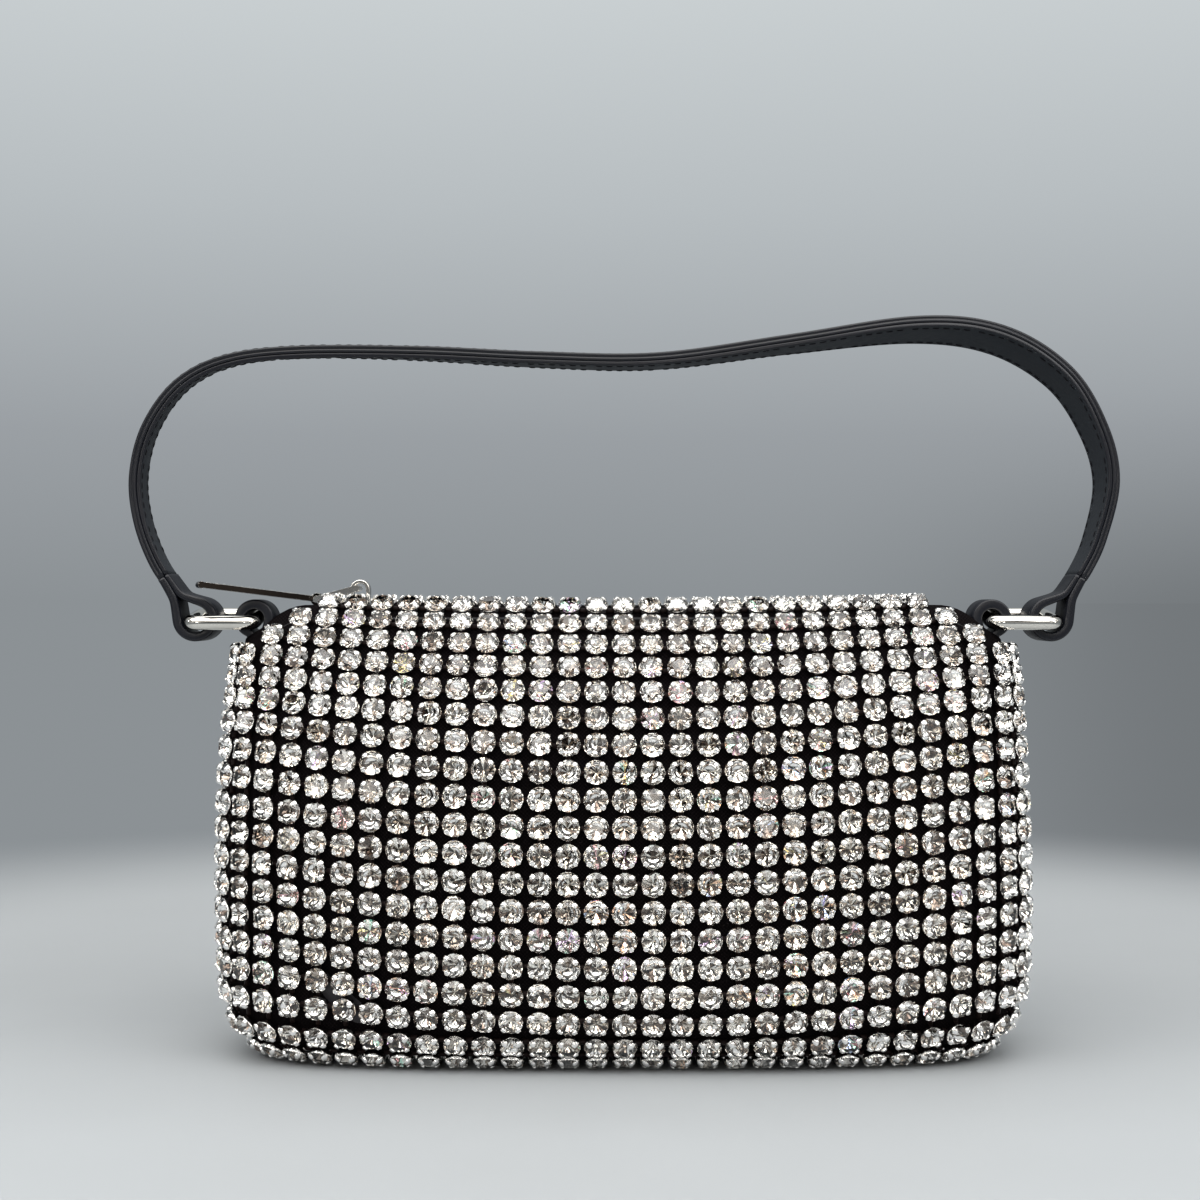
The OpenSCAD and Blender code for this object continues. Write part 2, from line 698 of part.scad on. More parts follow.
function band(p, n, w, low, high) = [
  for (c = [[low, -w], [low, w], [high, w], [high, -w]])
    [p.x + n.x * c[0], c[1], p.y + n.y * c[0]]
];

// A layer of the strap between two distances from its route, with a round end at each bend
tip_steps = 5;
function tip_band(k, m, low, high) = let (
    n = line_normal(k),
    along = (k == 0 ? -1 : 1) * [n.y, -n.x],
    turn = 90 * m / tip_steps)
  band(strap_line[k] + along * sin(turn) * strap_w / 2, n, cos(turn) * strap_w / 2, low, high);
module strap_layer(low, high) {
  loft([
    for (m = [tip_steps - 0.5 : -1 : 0.5]) tip_band(0, m, low, high),
    for (k = [0 : count - 1]) band(strap_line[k], line_normal(k), strap_w / 2, low, high),
    for (m = [0.5 : tip_steps - 0.5]) tip_band(count - 1, m, low, high)
  ]);
}
module strap_leather() { color("#232227") strap_layer(-strap_t / 2, strap_t / 2); }
module strap_lining() { color("#3a393e") strap_layer(-strap_t / 2 - strap_lining_t, -strap_t / 2); }

// Loop of the strap's end round the ring's outer bar, drawn together into a neck
ring_turn = asin(strap_lift / ring_l);
loop_x = tab_x + ring_l - ring_l * (1 - cos(ring_turn)) / 2;
neck_top = flex_z - strap_w / 2 - 1.5 * lay_gap;
fine_last = len(route_fine) - 1;
route_right = [
  for (k = [0 : round(fine_last / 4)]) let (q = route_fine[fine_last - k]) [q.y, q.x]
];
neck_x = lookup(neck_top, route_right);
neck_t = strap_t + strap_lining_t;
hollow_share = 0.6;
module drop(r, top, half_neck) {
  circle(r = r, $fn = round_fn);
  away = [neck_x - loop_x, top - ring_z];
  side = unit([away.y, -away.x]);
  polygon([side * r, away + side * half_neck, away - side * half_neck, -side * r]);
}
module strap_loop() {
  rotate([90, 0, 0])
    linear_extrude(strap_w, center = true)
      translate([loop_x, ring_z])
        difference() {
          drop(loop_bore_r + loop_t, neck_top, neck_t / 2);
          drop(loop_bore_r, ring_z + (neck_top - ring_z) * hollow_share, lay_gap);
        }
}
module strap_loop_right() { color("#232227") strap_loop(); }
module strap_loop_left() { color("#232227") mirror([1, 0, 0]) strap_loop(); }

front_net();
back_net();
bottom_net();
left_gusset_net();
right_gusset_net();
front_stones();
back_stones();
left_gusset_stones();
right_gusset_stones();
bottom_stones();
base_stones();
lining();
zip_tape_front();
zip_tape_back();
zip_teeth_front();
zip_teeth_back();
zip_stops();
slider_body();
slider_crown();
pull_link();
pull_bar();
tab_left();
tab_right();
ring_left();
ring_right();
strap_loop_left();
strap_loop_right();
strap_leather();
strap_lining();
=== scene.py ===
"""Zip pouch of black net set all over with round stones, with a short leather strap on two rings."""

import math
import random

import bmesh
import bpy
import numpy as np
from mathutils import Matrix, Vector


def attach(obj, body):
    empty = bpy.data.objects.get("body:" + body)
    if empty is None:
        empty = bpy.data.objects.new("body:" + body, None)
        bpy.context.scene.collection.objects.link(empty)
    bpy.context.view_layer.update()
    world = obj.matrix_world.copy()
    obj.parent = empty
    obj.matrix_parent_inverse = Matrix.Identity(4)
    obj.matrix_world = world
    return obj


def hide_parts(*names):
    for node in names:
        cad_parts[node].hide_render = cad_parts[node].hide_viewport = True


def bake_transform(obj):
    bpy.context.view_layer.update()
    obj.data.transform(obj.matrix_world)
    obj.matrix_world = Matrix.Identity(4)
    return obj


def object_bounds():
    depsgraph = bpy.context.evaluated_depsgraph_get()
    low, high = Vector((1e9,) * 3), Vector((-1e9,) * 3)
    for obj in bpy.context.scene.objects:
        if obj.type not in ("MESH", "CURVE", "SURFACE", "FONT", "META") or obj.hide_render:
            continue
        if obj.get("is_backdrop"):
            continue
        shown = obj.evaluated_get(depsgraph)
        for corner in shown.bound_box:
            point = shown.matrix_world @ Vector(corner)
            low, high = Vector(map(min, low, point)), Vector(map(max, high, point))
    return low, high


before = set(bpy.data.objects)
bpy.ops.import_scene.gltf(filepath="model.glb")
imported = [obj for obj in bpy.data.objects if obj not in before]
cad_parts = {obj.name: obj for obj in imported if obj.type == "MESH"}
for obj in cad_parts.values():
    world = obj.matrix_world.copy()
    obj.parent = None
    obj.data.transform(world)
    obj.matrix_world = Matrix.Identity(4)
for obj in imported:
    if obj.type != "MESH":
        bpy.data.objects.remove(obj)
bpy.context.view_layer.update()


# The place that the pouch is looked at from: level with its top edge, a little to the left of
# its middle, and near enough that its rounded ends fall away.
EYE = (-0.0056, -0.4445, 0.1088)
eye = bpy.data.cameras.new("eye")
eye.sensor_width = 36
eye.lens = 54.5
camera = bpy.data.objects.new("eye", eye)
camera.location = EYE
camera.rotation_euler = (math.radians(90), 0, 0)
bpy.context.scene.collection.objects.link(camera)
bpy.context.scene.camera = camera
bpy.context.scene.view_settings.view_transform = "Standard"


# The form of the pouch: a soft box with a rounded bottom edge, fullest near the floor and drawn
# in to a narrow mouth. Sizes are millimetres here, and each mesh is made in metres.
MM = 0.001
BODY_W, BODY_D, BODY_H = 191.2, 66.4, 108.5
CORNER_IN, CORNER_UP = 11.5, 19.0
STONE_PITCH, COLUMN_PITCH, STONE_ACROSS, STONE_UP = 6.3, 6.44, 5.5, 2.3
FULL_Z = STONE_UP + CORNER_UP
PLAN_POWER = 3.5
END_DRAW, END_CURVE = 0.054, 6.2
MOUTH_DRAW, MOUTH_CURVE, LIP_DRAW, LIP_CURVE = 0.728, 2.93, 0.11, 15.6
END_DROP, END_DROP_FROM, GUSSET_DROP = 5.2, 0.88, 4.2
FOLD_DEEP, NET_GIVE = 1.5, 0.4


def climb(z):
    """Height over the fullest line, as a share of the way from there to the top edge."""
    return (z - FULL_Z) / (BODY_H - FULL_Z)


def tuck(z):
    """How far the rounded bottom edge draws in at a height below the fullest line."""
    return CORNER_IN * (1 - np.sqrt(np.maximum(0, 1 - ((FULL_Z - z) / CORNER_UP) ** 2)))


def half_w_at(z):
    up = np.maximum(0, climb(z))
    return np.where(z < FULL_Z, BODY_W / 2 - tuck(z), BODY_W / 2 * (1 - END_DRAW * up**END_CURVE))


def half_d_at(z):
    up = np.maximum(0, climb(z))
    narrowed = BODY_D / 2 * (1 - MOUTH_DRAW * up**MOUTH_CURVE - LIP_DRAW * up**LIP_CURVE)
    return np.where(z < FULL_Z, BODY_D / 2 - tuck(z), narrowed)


def quarter(z, steps=72):
    """Arc length, x and depth of a quarter of the plan at one height, from the front to the end."""
    turn = np.radians(90 * (1 - np.arange(steps + 1) / steps))
    x = half_w_at(z) * np.cos(turn) ** (2 / PLAN_POWER)
    y = half_d_at(z) * np.sin(turn) ** (2 / PLAN_POWER)
    x[0], y[-1] = 0, 0
    arc = np.concatenate([[0], np.cumsum(np.hypot(np.diff(x), np.diff(y)))])
    return arc, x, y


def net_point(s, z):
    """The point of the net at a distance s along its plan from the middle of the front."""
    arc, x, y = quarter(z)
    return np.array([np.interp(abs(s), arc, x) * (1 if s >= 0 else -1), -np.interp(abs(s), arc, y), z])


def net_normal(p):
    """The direction that the net faces at a point."""
    a, b, step = half_w_at(p[2]), half_d_at(p[2]), 0.02
    slope_w = (half_w_at(p[2] + step) - a) / step
    slope_d = (half_d_at(p[2] + step) - b) / step
    fx, fy = (abs(p[0]) / a) ** (PLAN_POWER - 1), (abs(p[1]) / b) ** (PLAN_POWER - 1)
    n = np.array([np.sign(p[0]) * fx / a, np.sign(p[1]) * fy / b,
                  -fx * abs(p[0]) / a * slope_w / a - fy * abs(p[1]) / b * slope_d / b])
    return n / np.linalg.norm(n)


rise = np.concatenate([FULL_Z - CORNER_UP * np.cos(np.radians(90 * np.arange(41) / 40)),
                       FULL_Z + (BODY_H - FULL_Z) * np.arange(1, 41) / 40])
rise_arc = np.concatenate([[0], np.cumsum(np.hypot(np.diff(half_d_at(rise)), np.diff(rise)))])
ROWS = round(rise_arc[-1] / STONE_PITCH)
COLUMNS = 13
SEAM_S = (COLUMNS + 0.5) * COLUMN_PITCH

# The rows curve up towards the seams: shares of the height, and how far a row rises at each.
ROW_SHARES, ROW_RISES = (0, 0.14, 0.5, 0.69, 0.97), (0.6, 4.2, 4.2, 5.2, 2.3)


def row_z(row, e):
    """Height of a row of stones at e, the share of the way from the front's middle to its seam."""
    risen = e * e * float(np.interp((row + 0.5) / ROWS, ROW_SHARES, ROW_RISES))
    return float(np.interp((row + 0.5) * STONE_PITCH + risen, rise_arc, rise))


def front_edge_z(e):
    return BODY_H - END_DROP * max(0, (e - END_DROP_FROM) / (1 - END_DROP_FROM)) ** 2


def end_edge_z(f):
    return BODY_H - END_DROP - GUSSET_DROP * math.sin(math.radians(90 * f))


def slump(p):
    """How far the loaded net gives way at a point: slow waves, and a soft fold low on the left."""
    x, z = p[0] * (-1 if p[1] > 0 else 1), p[2]
    wave = 0.35 * math.sin(x / 17 + z / 31) + 0.3 * math.sin(z / 13 - x / 41 + 1.3)
    fold = math.exp(-(((x + 70 + (z - 22) * 0.9) / 7) ** 2)) * math.exp(-(((z - 16) / 16) ** 2))
    fade = min(1, max(0, (z - 4) / 8)) * min(1, max(0, (100 - z) / 10))
    return (wave - FOLD_DEEP * fold) * fade - NET_GIVE


# Black cloth that backs the net: one piece for the front, one for the back, one for each end and
# one underneath, sewn together along the corners. Fine knit, dull, seen only between the cups.
def mesh_object(name, points, faces, finishes, finish_of=None, smooth=True, uv=None):
    data = bpy.data.meshes.new(name)
    data.from_pydata(np.asarray(points, float).tolist(), [], [list(map(int, f)) for f in faces])
    for finish in finishes:
        data.materials.append(finish)
    if finish_of is not None:
        data.polygons.foreach_set("material_index", np.asarray(finish_of, np.int32))
    data.polygons.foreach_set("use_smooth", np.full(len(data.polygons), smooth))
    if uv is not None:
        corners = np.zeros(len(data.loops), np.int32)
        data.loops.foreach_get("vertex_index", corners)
        layer = data.uv_layers.new(name="cut")
        layer.data.foreach_set("uv", np.asarray(uv, np.float32)[corners].ravel())
    data.update()
    made = bpy.data.objects.new(name, data)
    bpy.context.scene.collection.objects.link(made)
    return made


def outward(made):
    """Turns every face of a closed mesh to face out."""
    bm = bmesh.new()
    bm.from_mesh(made.data)
    bmesh.ops.recalc_face_normals(bm, faces=bm.faces)
    bm.to_mesh(made.data)
    bm.free()
    return made


def grid_faces(nu, nv, start=0, flip=False):
    i, j = np.meshgrid(np.arange(nu - 1), np.arange(nv - 1), indexing="ij")
    a = start + i * nv + j
    quads = np.stack([a, a + nv, a + nv + 1, a + 1], -1).reshape(-1, 4)
    return quads[:, ::-1] if flip else quads


def sheet_mesh(name, front, back, finishes, uv):
    """A thin closed sheet between two grids of points."""
    nu, nv = front.shape[:2]
    half = nu * nv
    faces = list(grid_faces(nu, nv)) + list(grid_faces(nu, nv, half, True))
    rim = [i * nv for i in range(nu)] + [(nu - 1) * nv + j for j in range(1, nv)]
    rim += [i * nv + nv - 1 for i in range(nu - 2, -1, -1)] + list(range(nv - 2, 0, -1))
    for a, b in zip(rim, rim[1:] + rim[:1]):
        faces.append([b, a, a + half, b + half])
    points = np.concatenate([front.reshape(half, 3), back.reshape(half, 3)]) * MM
    both = np.concatenate([uv.reshape(half, 2)] * 2)
    return outward(mesh_object(name, points, faces, finishes, uv=both))


def node(tree, kind, links=(), **values):
    """A node with its values set, and its inputs linked from (input, other node, output)."""
    made = tree.nodes.new(kind)
    for key, value in values.items():
        if hasattr(made, key):
            setattr(made, key, value)
        else:
            made.inputs[key.replace("_", " ")].default_value = value
    for here, other, there in links:
        tree.links.new(other.outputs[there], made.inputs[here])
    return made


def reckoned(tree, operation, *terms):
    """A sum of one or two terms. Each is a number, or a node and its output."""
    made = node(tree, "ShaderNodeMath", operation=operation)
    for place, term in enumerate(terms):
        if isinstance(term, tuple):
            tree.links.new(term[0].outputs[term[1]], made.inputs[place])
        else:
            made.inputs[place].default_value = term
    return made


def new_finish(name, **values):
    """A material, its nodes and its surface shader, with the shader's plain values set."""
    made = bpy.data.materials.new(name)
    made.use_nodes = True
    tree = made.node_tree
    tree.nodes.clear()
    skin = node(tree, "ShaderNodeBsdfPrincipled", **values)
    node(tree, "ShaderNodeOutputMaterial", [("Surface", skin, "BSDF")])
    return made, tree, skin


def new_group(name, inputs, outputs):
    """A group of nodes with its own number sockets, and the nodes at its two ends."""
    group = bpy.data.node_groups.new(name, "ShaderNodeTree")
    for title, value in inputs.items():
        socket = group.interface.new_socket(title, in_out="INPUT", socket_type="NodeSocketFloat")
        socket.default_value = value
    for title in outputs:
        group.interface.new_socket(title, in_out="OUTPUT", socket_type="NodeSocketFloat")
    return group, group.nodes.new("NodeGroupInput"), group.nodes.new("NodeGroupOutput")


# Thread: two sets of yarns that cross, counted along the cut of the cloth.
thread, taken, given = new_group("thread", {"Yarns": 2500.0, "Fuzz": 0.3}, ("Height", "Shade"))
cut = node(thread, "ShaderNodeUVMap", uv_map="cut")
axes = node(thread, "ShaderNodeSeparateXYZ", [("Vector", cut, "UV")])
yarns = []
for axis, phase in (("X", 0.0), ("Y", math.pi / 2)):
    count = reckoned(thread, "MULTIPLY", (axes, axis), (taken, "Yarns"))
    turned = reckoned(thread, "ADD", (count, 0), phase)
    yarns.append(reckoned(thread, "SINE", (turned, 0)))
cross = reckoned(thread, "MULTIPLY", (yarns[0], 0), (yarns[1], 0))
fuzz = node(thread, "ShaderNodeTexNoise", [("Vector", cut, "UV")], Scale=900.0, Detail=3.0)
fuzzed = reckoned(thread, "MULTIPLY", (fuzz, "Fac"), (taken, "Fuzz"))
height = reckoned(thread, "ADD", (cross, 0), (fuzzed, 0))
# Painted shade: the colour follows the weave's height, so the cloth is darker in the hollows between the
# yarns.
weave_painted_shade = node(thread, "ShaderNodeMapRange", [("Value", height, 0)], From_Min=-1.0, From_Max=1.2)
thread.links.new(height.outputs[0], given.inputs["Height"])
thread.links.new(weave_painted_shade.outputs["Result"], given.inputs["Shade"])


def shaded(tree, skin, value, dark, light):
    """Base colour between a dark and a light tone, by a value from 0 to 1."""
    ramp = node(tree, "ShaderNodeValToRGB", [("Fac", *value)])
    ramp.color_ramp.elements[0].color = (*dark, 1)
    ramp.color_ramp.elements[1].color = (*light, 1)
    tree.links.new(ramp.outputs["Color"], skin.inputs["Base Color"])


def bumped(tree, skin, value, strength, distance):
    bump = node(tree, "ShaderNodeBump", [("Height", *value)], Strength=strength, Distance=distance)
    tree.links.new(bump.outputs["Normal"], skin.inputs["Normal"])


def cloth_finish(name, dark, light, yarn_count, sheen=0.0, gloss=0.8, depth=0.00008, shine=0.3):
    made, tree, skin = new_finish(name, Roughness=gloss, Sheen_Weight=sheen, Specular_IOR_Level=shine)
    yarn = node(tree, "ShaderNodeGroup", node_tree=thread, Yarns=yarn_count)
    shaded(tree, skin, (yarn, "Shade"), dark, light)
    bumped(tree, skin, (yarn, "Height"), 0.6, depth)
    return made


backing_finish = cloth_finish("backing_knit", (0.0008, 0.0006, 0.0008), (0.006, 0.0045, 0.005), 7000.0,
                              shine=0.03)

CLOTH_DOWN, CLOTH_THICK = 0.75, 0.3
half_turn = np.array([-1, -1, 1])


def panel_grids(lines, heights, edge, arc_of):
    """The outer and inner points of a panel's backing, and its flat cut."""
    front, back, cuts = [], [], []
    for line in lines:
        top = edge(line)
        for share in heights:
            z = STONE_UP + (top - STONE_UP) * share
            p = arc_of(line, z)
            n = net_normal(p)
            give = slump(p)
            front.append(p + n * (give - CLOTH_DOWN))
            back.append(p + n * (give - CLOTH_DOWN - CLOTH_THICK))
            cuts.append([line * SEAM_S * MM, z * MM])
    shape = (len(lines), len(heights))
    return (np.array(front).reshape(*shape, 3), np.array(back).reshape(*shape, 3),
            np.array(cuts).reshape(*shape, 2))


def front_arc(line, z):
    return net_point(line * SEAM_S, z)


def end_arc(line, z):
    full = quarter(z)[0][-1]
    p = net_point(SEAM_S + (1 - abs(line)) * (full - SEAM_S), z)
    return p * np.array([1, -1 if line > 0 else 1, 1])


height_shares = [(float(np.interp(rise_arc[-1] * k / 64, rise_arc, rise)) - STONE_UP) / (BODY_H - STONE_UP)
                 for k in range(65)]
front_grids = panel_grids(np.linspace(-1, 1, 91), height_shares, lambda u: front_edge_z(abs(u)), front_arc)
end_grids = panel_grids(np.linspace(-1, 1, 31), height_shares, lambda v: end_edge_z(1 - abs(v)), end_arc)
backings = {}
for place, grids, turned in (("front", front_grids, False), ("back", front_grids, True),
                             ("right_gusset", end_grids, False), ("left_gusset", end_grids, True)):
    turn = half_turn if turned else 1
    backings[place] = sheet_mesh(place + "_backing", grids[0] * turn, grids[1] * turn,
                                 [backing_finish], grids[2])
FLAT_W, FLAT_D = BODY_W / 2 - CORNER_IN, BODY_D / 2 - CORNER_IN
ray = np.radians(np.arange(0, 361, 3))
rounded = np.stack([np.sign(np.cos(ray)) * np.abs(np.cos(ray)) ** (2 / PLAN_POWER) * FLAT_W,
                    np.sign(np.sin(ray)) * np.abs(np.sin(ray)) ** (2 / PLAN_POWER) * FLAT_D], -1)
inward = np.linspace(1, 0.02, 16)
floor_grid = np.array([[[x * k, y * k, STONE_UP + CLOTH_DOWN] for k in inward] for x, y in rounded])
backings["bottom"] = sheet_mesh("bottom_backing", floor_grid, floor_grid + np.array([0, 0, CLOTH_THICK]),
                                [backing_finish], floor_grid[:, :, :2] * MM)
for place, made in backings.items():
    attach(made, "bag")
    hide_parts(place + "_net")


# The net over the backing: black cords that run from cup to cup along the rows and columns,
# pressed flat, with small square holes between them.
def tangent_frame(p, n):
    """Directions along the row and up the column at a point of a panel."""
    level = np.cross([0, 0, 1], n) if abs(n[2]) < 0.98 else np.array([1.0, 0, 0])
    level = level / np.linalg.norm(level)
    return level, np.cross(n, level)


def settle(p):
    """A point of the net once it has given way, and the direction that it faces."""
    n = net_normal(p)
    return p + n * slump(p), n


EDGE_CLEAR, CORNER_CLEAR, CORNER_FROM = 0.2, 2.5, 0.85
front_spots, front_grid = [], {}
for row in range(ROWS):
    for column in range(-COLUMNS, COLUMNS + 1):
        e = abs(column) * COLUMN_PITCH / SEAM_S
        z = row_z(row, e)
        cut_back = CORNER_CLEAR * max(0, (e - CORNER_FROM) / (1 - CORNER_FROM))
        if z < front_edge_z(e) - EDGE_CLEAR - cut_back:
            p, n = settle(net_point(column * COLUMN_PITCH, z))
            front_grid[row, column] = len(front_spots)
            front_spots.append((p, n))
GUSSET_GAP = 0.6
end_spots, end_rows = [], []
for row in range(ROWS):
    z = row_z(row, 1)
    reach = quarter(z)[0][-1] - SEAM_S if z < BODY_H - END_DROP else 0
    fit = math.floor(2 * reach / (STONE_ACROSS + GUSSET_GAP))
    start = len(end_spots)
    for k in range(fit):
        offset = reach * ((2 * k + 1) / fit - 1)
        if z > end_edge_z(1 - abs(offset) / reach) - STONE_ACROSS / 3.5:
            continue
        q = net_point(SEAM_S + reach - abs(offset), z)
        p, n = settle(np.array([q[0], q[1] if offset < 0 else -q[1], z]))
        end_spots.append((p, n))
    end_rows.append(range(start, len(end_spots)))


def spun_finish(name, dark, light, gloss, relief, **grain):
    """Spun fibre: its plies show as a fine mottling, raised by (strength, depth)."""
    made, tree, skin = new_finish(name, Roughness=gloss, Specular_IOR_Level=0.1)
    spread = node(tree, "ShaderNodeTexCoord")
    ply = node(tree, "ShaderNodeTexNoise", [("Vector", spread, "Object")], **grain)
    shaded(tree, skin, (ply, "Fac"), dark, light)
    bumped(tree, skin, (ply, "Fac"), *relief)
    return made


cord_finish = spun_finish("net_cord", (0.001, 0.0006, 0.0008), (0.02, 0.011, 0.010), 0.55, (0.5, 0.0001),
                          Scale=1400.0, Detail=4.0, Roughness=0.7)


def tube_faces(sections, around, base=0, tip=None):
    """Faces of a tube of like sections, shut at its first end and shut or drawn to a tip at the other."""
    faces = []
    for a in range(base, base + (sections - 1) * around, around):
        for c in range(around):
            d = (c + 1) % around
            faces.append([a + c, a + d, a + around + d, a + around + c])
    last = base + (sections - 1) * around
    faces.append([base + c for c in range(around - 1, -1, -1)])
    if tip is None:
        faces.append([last + c for c in range(around)])
    else:
        faces += [[last + c, last + (c + 1) % around, tip] for c in range(around)]
    return faces


CORD_FROM, CORD_HALF, CORD_PINCH, CORD_SHOULDER = 2.3, 0.95, 0.35, 0.06
CORD_SECTION = ((-0.8, -1), (0.0, -0.8), (0.14, 0.0), (0.0, 0.8), (-0.8, 1))


def cords(name, pairs, spots):
    """Flat cords between the cups, each from under the rim of one to under the rim of the next."""
    points, faces = [], []
    for a, b in pairs:
        (p, n), (q, m) = spots[a], spots[b]
        span = np.linalg.norm(q - p)
        near = CORD_FROM / span
        shares = (near, near + CORD_SHOULDER, 0.5, 1 - CORD_SHOULDER - near, 1 - near)
        faces += tube_faces(len(shares), len(CORD_SECTION), len(points))
        for share in shares:
            middle, up = p + (q - p) * share, n + (m - n) * share
            up = up / np.linalg.norm(up)
            side = np.cross(up, (q - p) / span)
            wide = CORD_HALF - CORD_PINCH * math.sin(math.pi * share)
            points += [middle + up * out + side * (off * wide) for out, off in CORD_SECTION]
    return outward(mesh_object(name, np.array(points) * MM, faces, [cord_finish]))


def turned_spots(spots):
    return [(p * half_turn, n * half_turn) for p, n in spots]


front_pairs = [(a, front_grid[step]) for (row, column), a in front_grid.items()
               for step in ((row, column + 1), (row + 1, column)) if step in front_grid]
end_pairs = [(a, a + 1) for spots_in_row in end_rows for a in spots_in_row[:-1]]
for low, high in zip(end_rows, end_rows[1:]):
    for share, a in zip(np.linspace(0, 1, len(low)), low):
        if len(high):
            end_pairs.append((a, high[round(share * (len(high) - 1))]))
for name, pairs, spots in (("front_cords", front_pairs, front_spots),
                           ("back_cords", front_pairs, turned_spots(front_spots)),
                           ("right_gusset_cords", end_pairs, end_spots),
                           ("left_gusset_cords", end_pairs, turned_spots(end_spots))):
    made = cords(name, pairs, spots)
    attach(made, "bag")


# The stones: round brilliants of clear glass, silvered behind, so that the light that enters
# the crown comes back from the cone beneath. Each sits in its cup at its own turn and tilt.
def ring_of(count, radius, z, start=0.0):
    angle = np.radians(start + 360 / count * np.arange(count))
    return np.stack([radius * np.cos(angle), radius * np.sin(angle), np.full(count, z)], -1)


# The corners of the facets, in rings of (count, radius, height, first angle) from the table down, and
# the culet under them. Part 0 is the clear crown and part 1 the silvered back.
STONE_RINGS = ((8, 1.66, 2.42, 22.5), (8, 2.30, 2.02, 0), (16, 2.84, 1.45, 0), (8, 1.78, 0.62, 0))
CULET_Z = -0.83
TABLE, STAR, GIRDLE, LOWER, CULET = range(0, 8), range(8, 16), range(16, 32), range(32, 40), 40
stone_points = np.concatenate([ring_of(*ring) for ring in STONE_RINGS] + [[[0, 0, CULET_Z]]])
stone_faces, stone_part = [list(TABLE)], [0]
for k in range(8):
    behind = (k - 1) % 8
    stone_faces += [[TABLE[behind], STAR[k], TABLE[k]],
                    [TABLE[k], STAR[k], GIRDLE[2 * k + 1], STAR[(k + 1) % 8]],
                    [STAR[k], GIRDLE[(2 * k - 1) % 16], GIRDLE[2 * k]],
                    [STAR[k], GIRDLE[2 * k], GIRDLE[2 * k + 1]]]
    stone_part += [0] * 4
    stone_faces += [[CULET, LOWER[(k + 1) % 8], GIRDLE[2 * k + 1]], [CULET, GIRDLE[2 * k + 1], LOWER[k]],
                    [LOWER[k], GIRDLE[2 * k], GIRDLE[(2 * k - 1) % 16]],
                    [LOWER[k], GIRDLE[2 * k + 1], GIRDLE[2 * k]]]
    stone_part += [1] * 4
stone_part = np.array(stone_part)

crystal_finish = new_finish("crystal", Base_Color=(0.985, 0.99, 0.99, 1), Roughness=0.0, IOR=1.62,
                            Transmission_Weight=1.0)[0]

silvered_finish, tree, skin = new_finish("silvered_glass", Metallic=1.0, Roughness=0.03)
# The silvered back's colour is painted light, facet by facet: see the tones below.
tint = node(tree, "ShaderNodeVertexColor", layer_name="painted_facet_light")
tree.links.new(tint.outputs["Color"], skin.inputs["Base Color"])

# Each facet of the silvered back has one of these tones, painted from near black to white to stand in for
# the dark and bright reflections of a cut stone, and in some stones a few have a colour, painted to stand in
# for coloured glints.
PAINTED_FACET_TONES = [(0.07, 0.05, 0.04), (0.22, 0.17, 0.14), (0.42, 0.365, 0.31), (0.70, 0.66, 0.60),
         (1.0, 0.98, 0.93), (1.0, 0.97, 0.91)]
PAINTED_GLINT_COLOURS = [(0.62, 0.74, 1.0), (0.66, 1.0, 0.86), (1.0, 0.68, 0.48), (1.0, 0.93, 0.55), (0.86, 0.66, 1.0),
        (1.0, 0.62, 0.66)]
FIERY_STONES, FIERY_FACETS = 0.2, 0.15
STONE_TURN, STONE_TILT, STONE_SEED = 22.5, 0.045, 11


def stone_frames(spots, chance, turn, tilt):
    """Axes for the pieces on the spots: a turn about the net's normal in degrees, and a small tilt."""
    places = []
    for p, n in spots:
        level, up = tangent_frame(p, n)
        n = n + level * chance.gauss(0, tilt) + up * chance.gauss(0, tilt)
        n = n / np.linalg.norm(n)
        level = level - n * np.dot(level, n)
        level = level / np.linalg.norm(level)
        a = math.radians(chance.uniform(-turn, turn))
        first = level * math.cos(a) + np.cross(n, level) * math.sin(a)
        places.append((p, np.stack([first, np.cross(n, first), n])))
    return places


def repeated(name, places, points, faces, finishes, finish_of, smooth):
    """One mesh that repeats a pattern at every place."""
    all_points = np.concatenate([p + points @ axes for p, axes in places]) * MM
    step = len(points)
    all_faces = [[v + k * step for v in f] for k in range(len(places)) for f in faces]
    return mesh_object(name, all_points, all_faces, finishes, np.tile(finish_of, len(places)), smooth)


def stones(name, spots, seed):
    chance = random.Random(seed)
    places = stone_frames(spots, chance, STONE_TURN, STONE_TILT)
    made = repeated(name, places, stone_points, stone_faces, [crystal_finish, silvered_finish],
                    stone_part, False)
    # Painted light: each facet's colour is a painted reflection, dark, bright or now and then coloured.
    layer = made.data.color_attributes.new("painted_facet_light", "FLOAT_COLOR", "CORNER")
    colours = []
    for _ in places:
        fiery = chance.random() < FIERY_STONES
        for face in stone_faces:
            tone, light = chance.choice(PAINTED_FACET_TONES), chance.uniform(0.85, 1.1)
            c = tuple(min(1, x * light) for x in tone)
            if fiery and chance.random() < FIERY_FACETS:
                c = chance.choice(PAINTED_GLINT_COLOURS)
            colours += [(*c, 1.0)] * len(face)
    layer.data.foreach_set("color", np.array(colours, np.float32).ravel())
    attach(made, "bag")
    return made


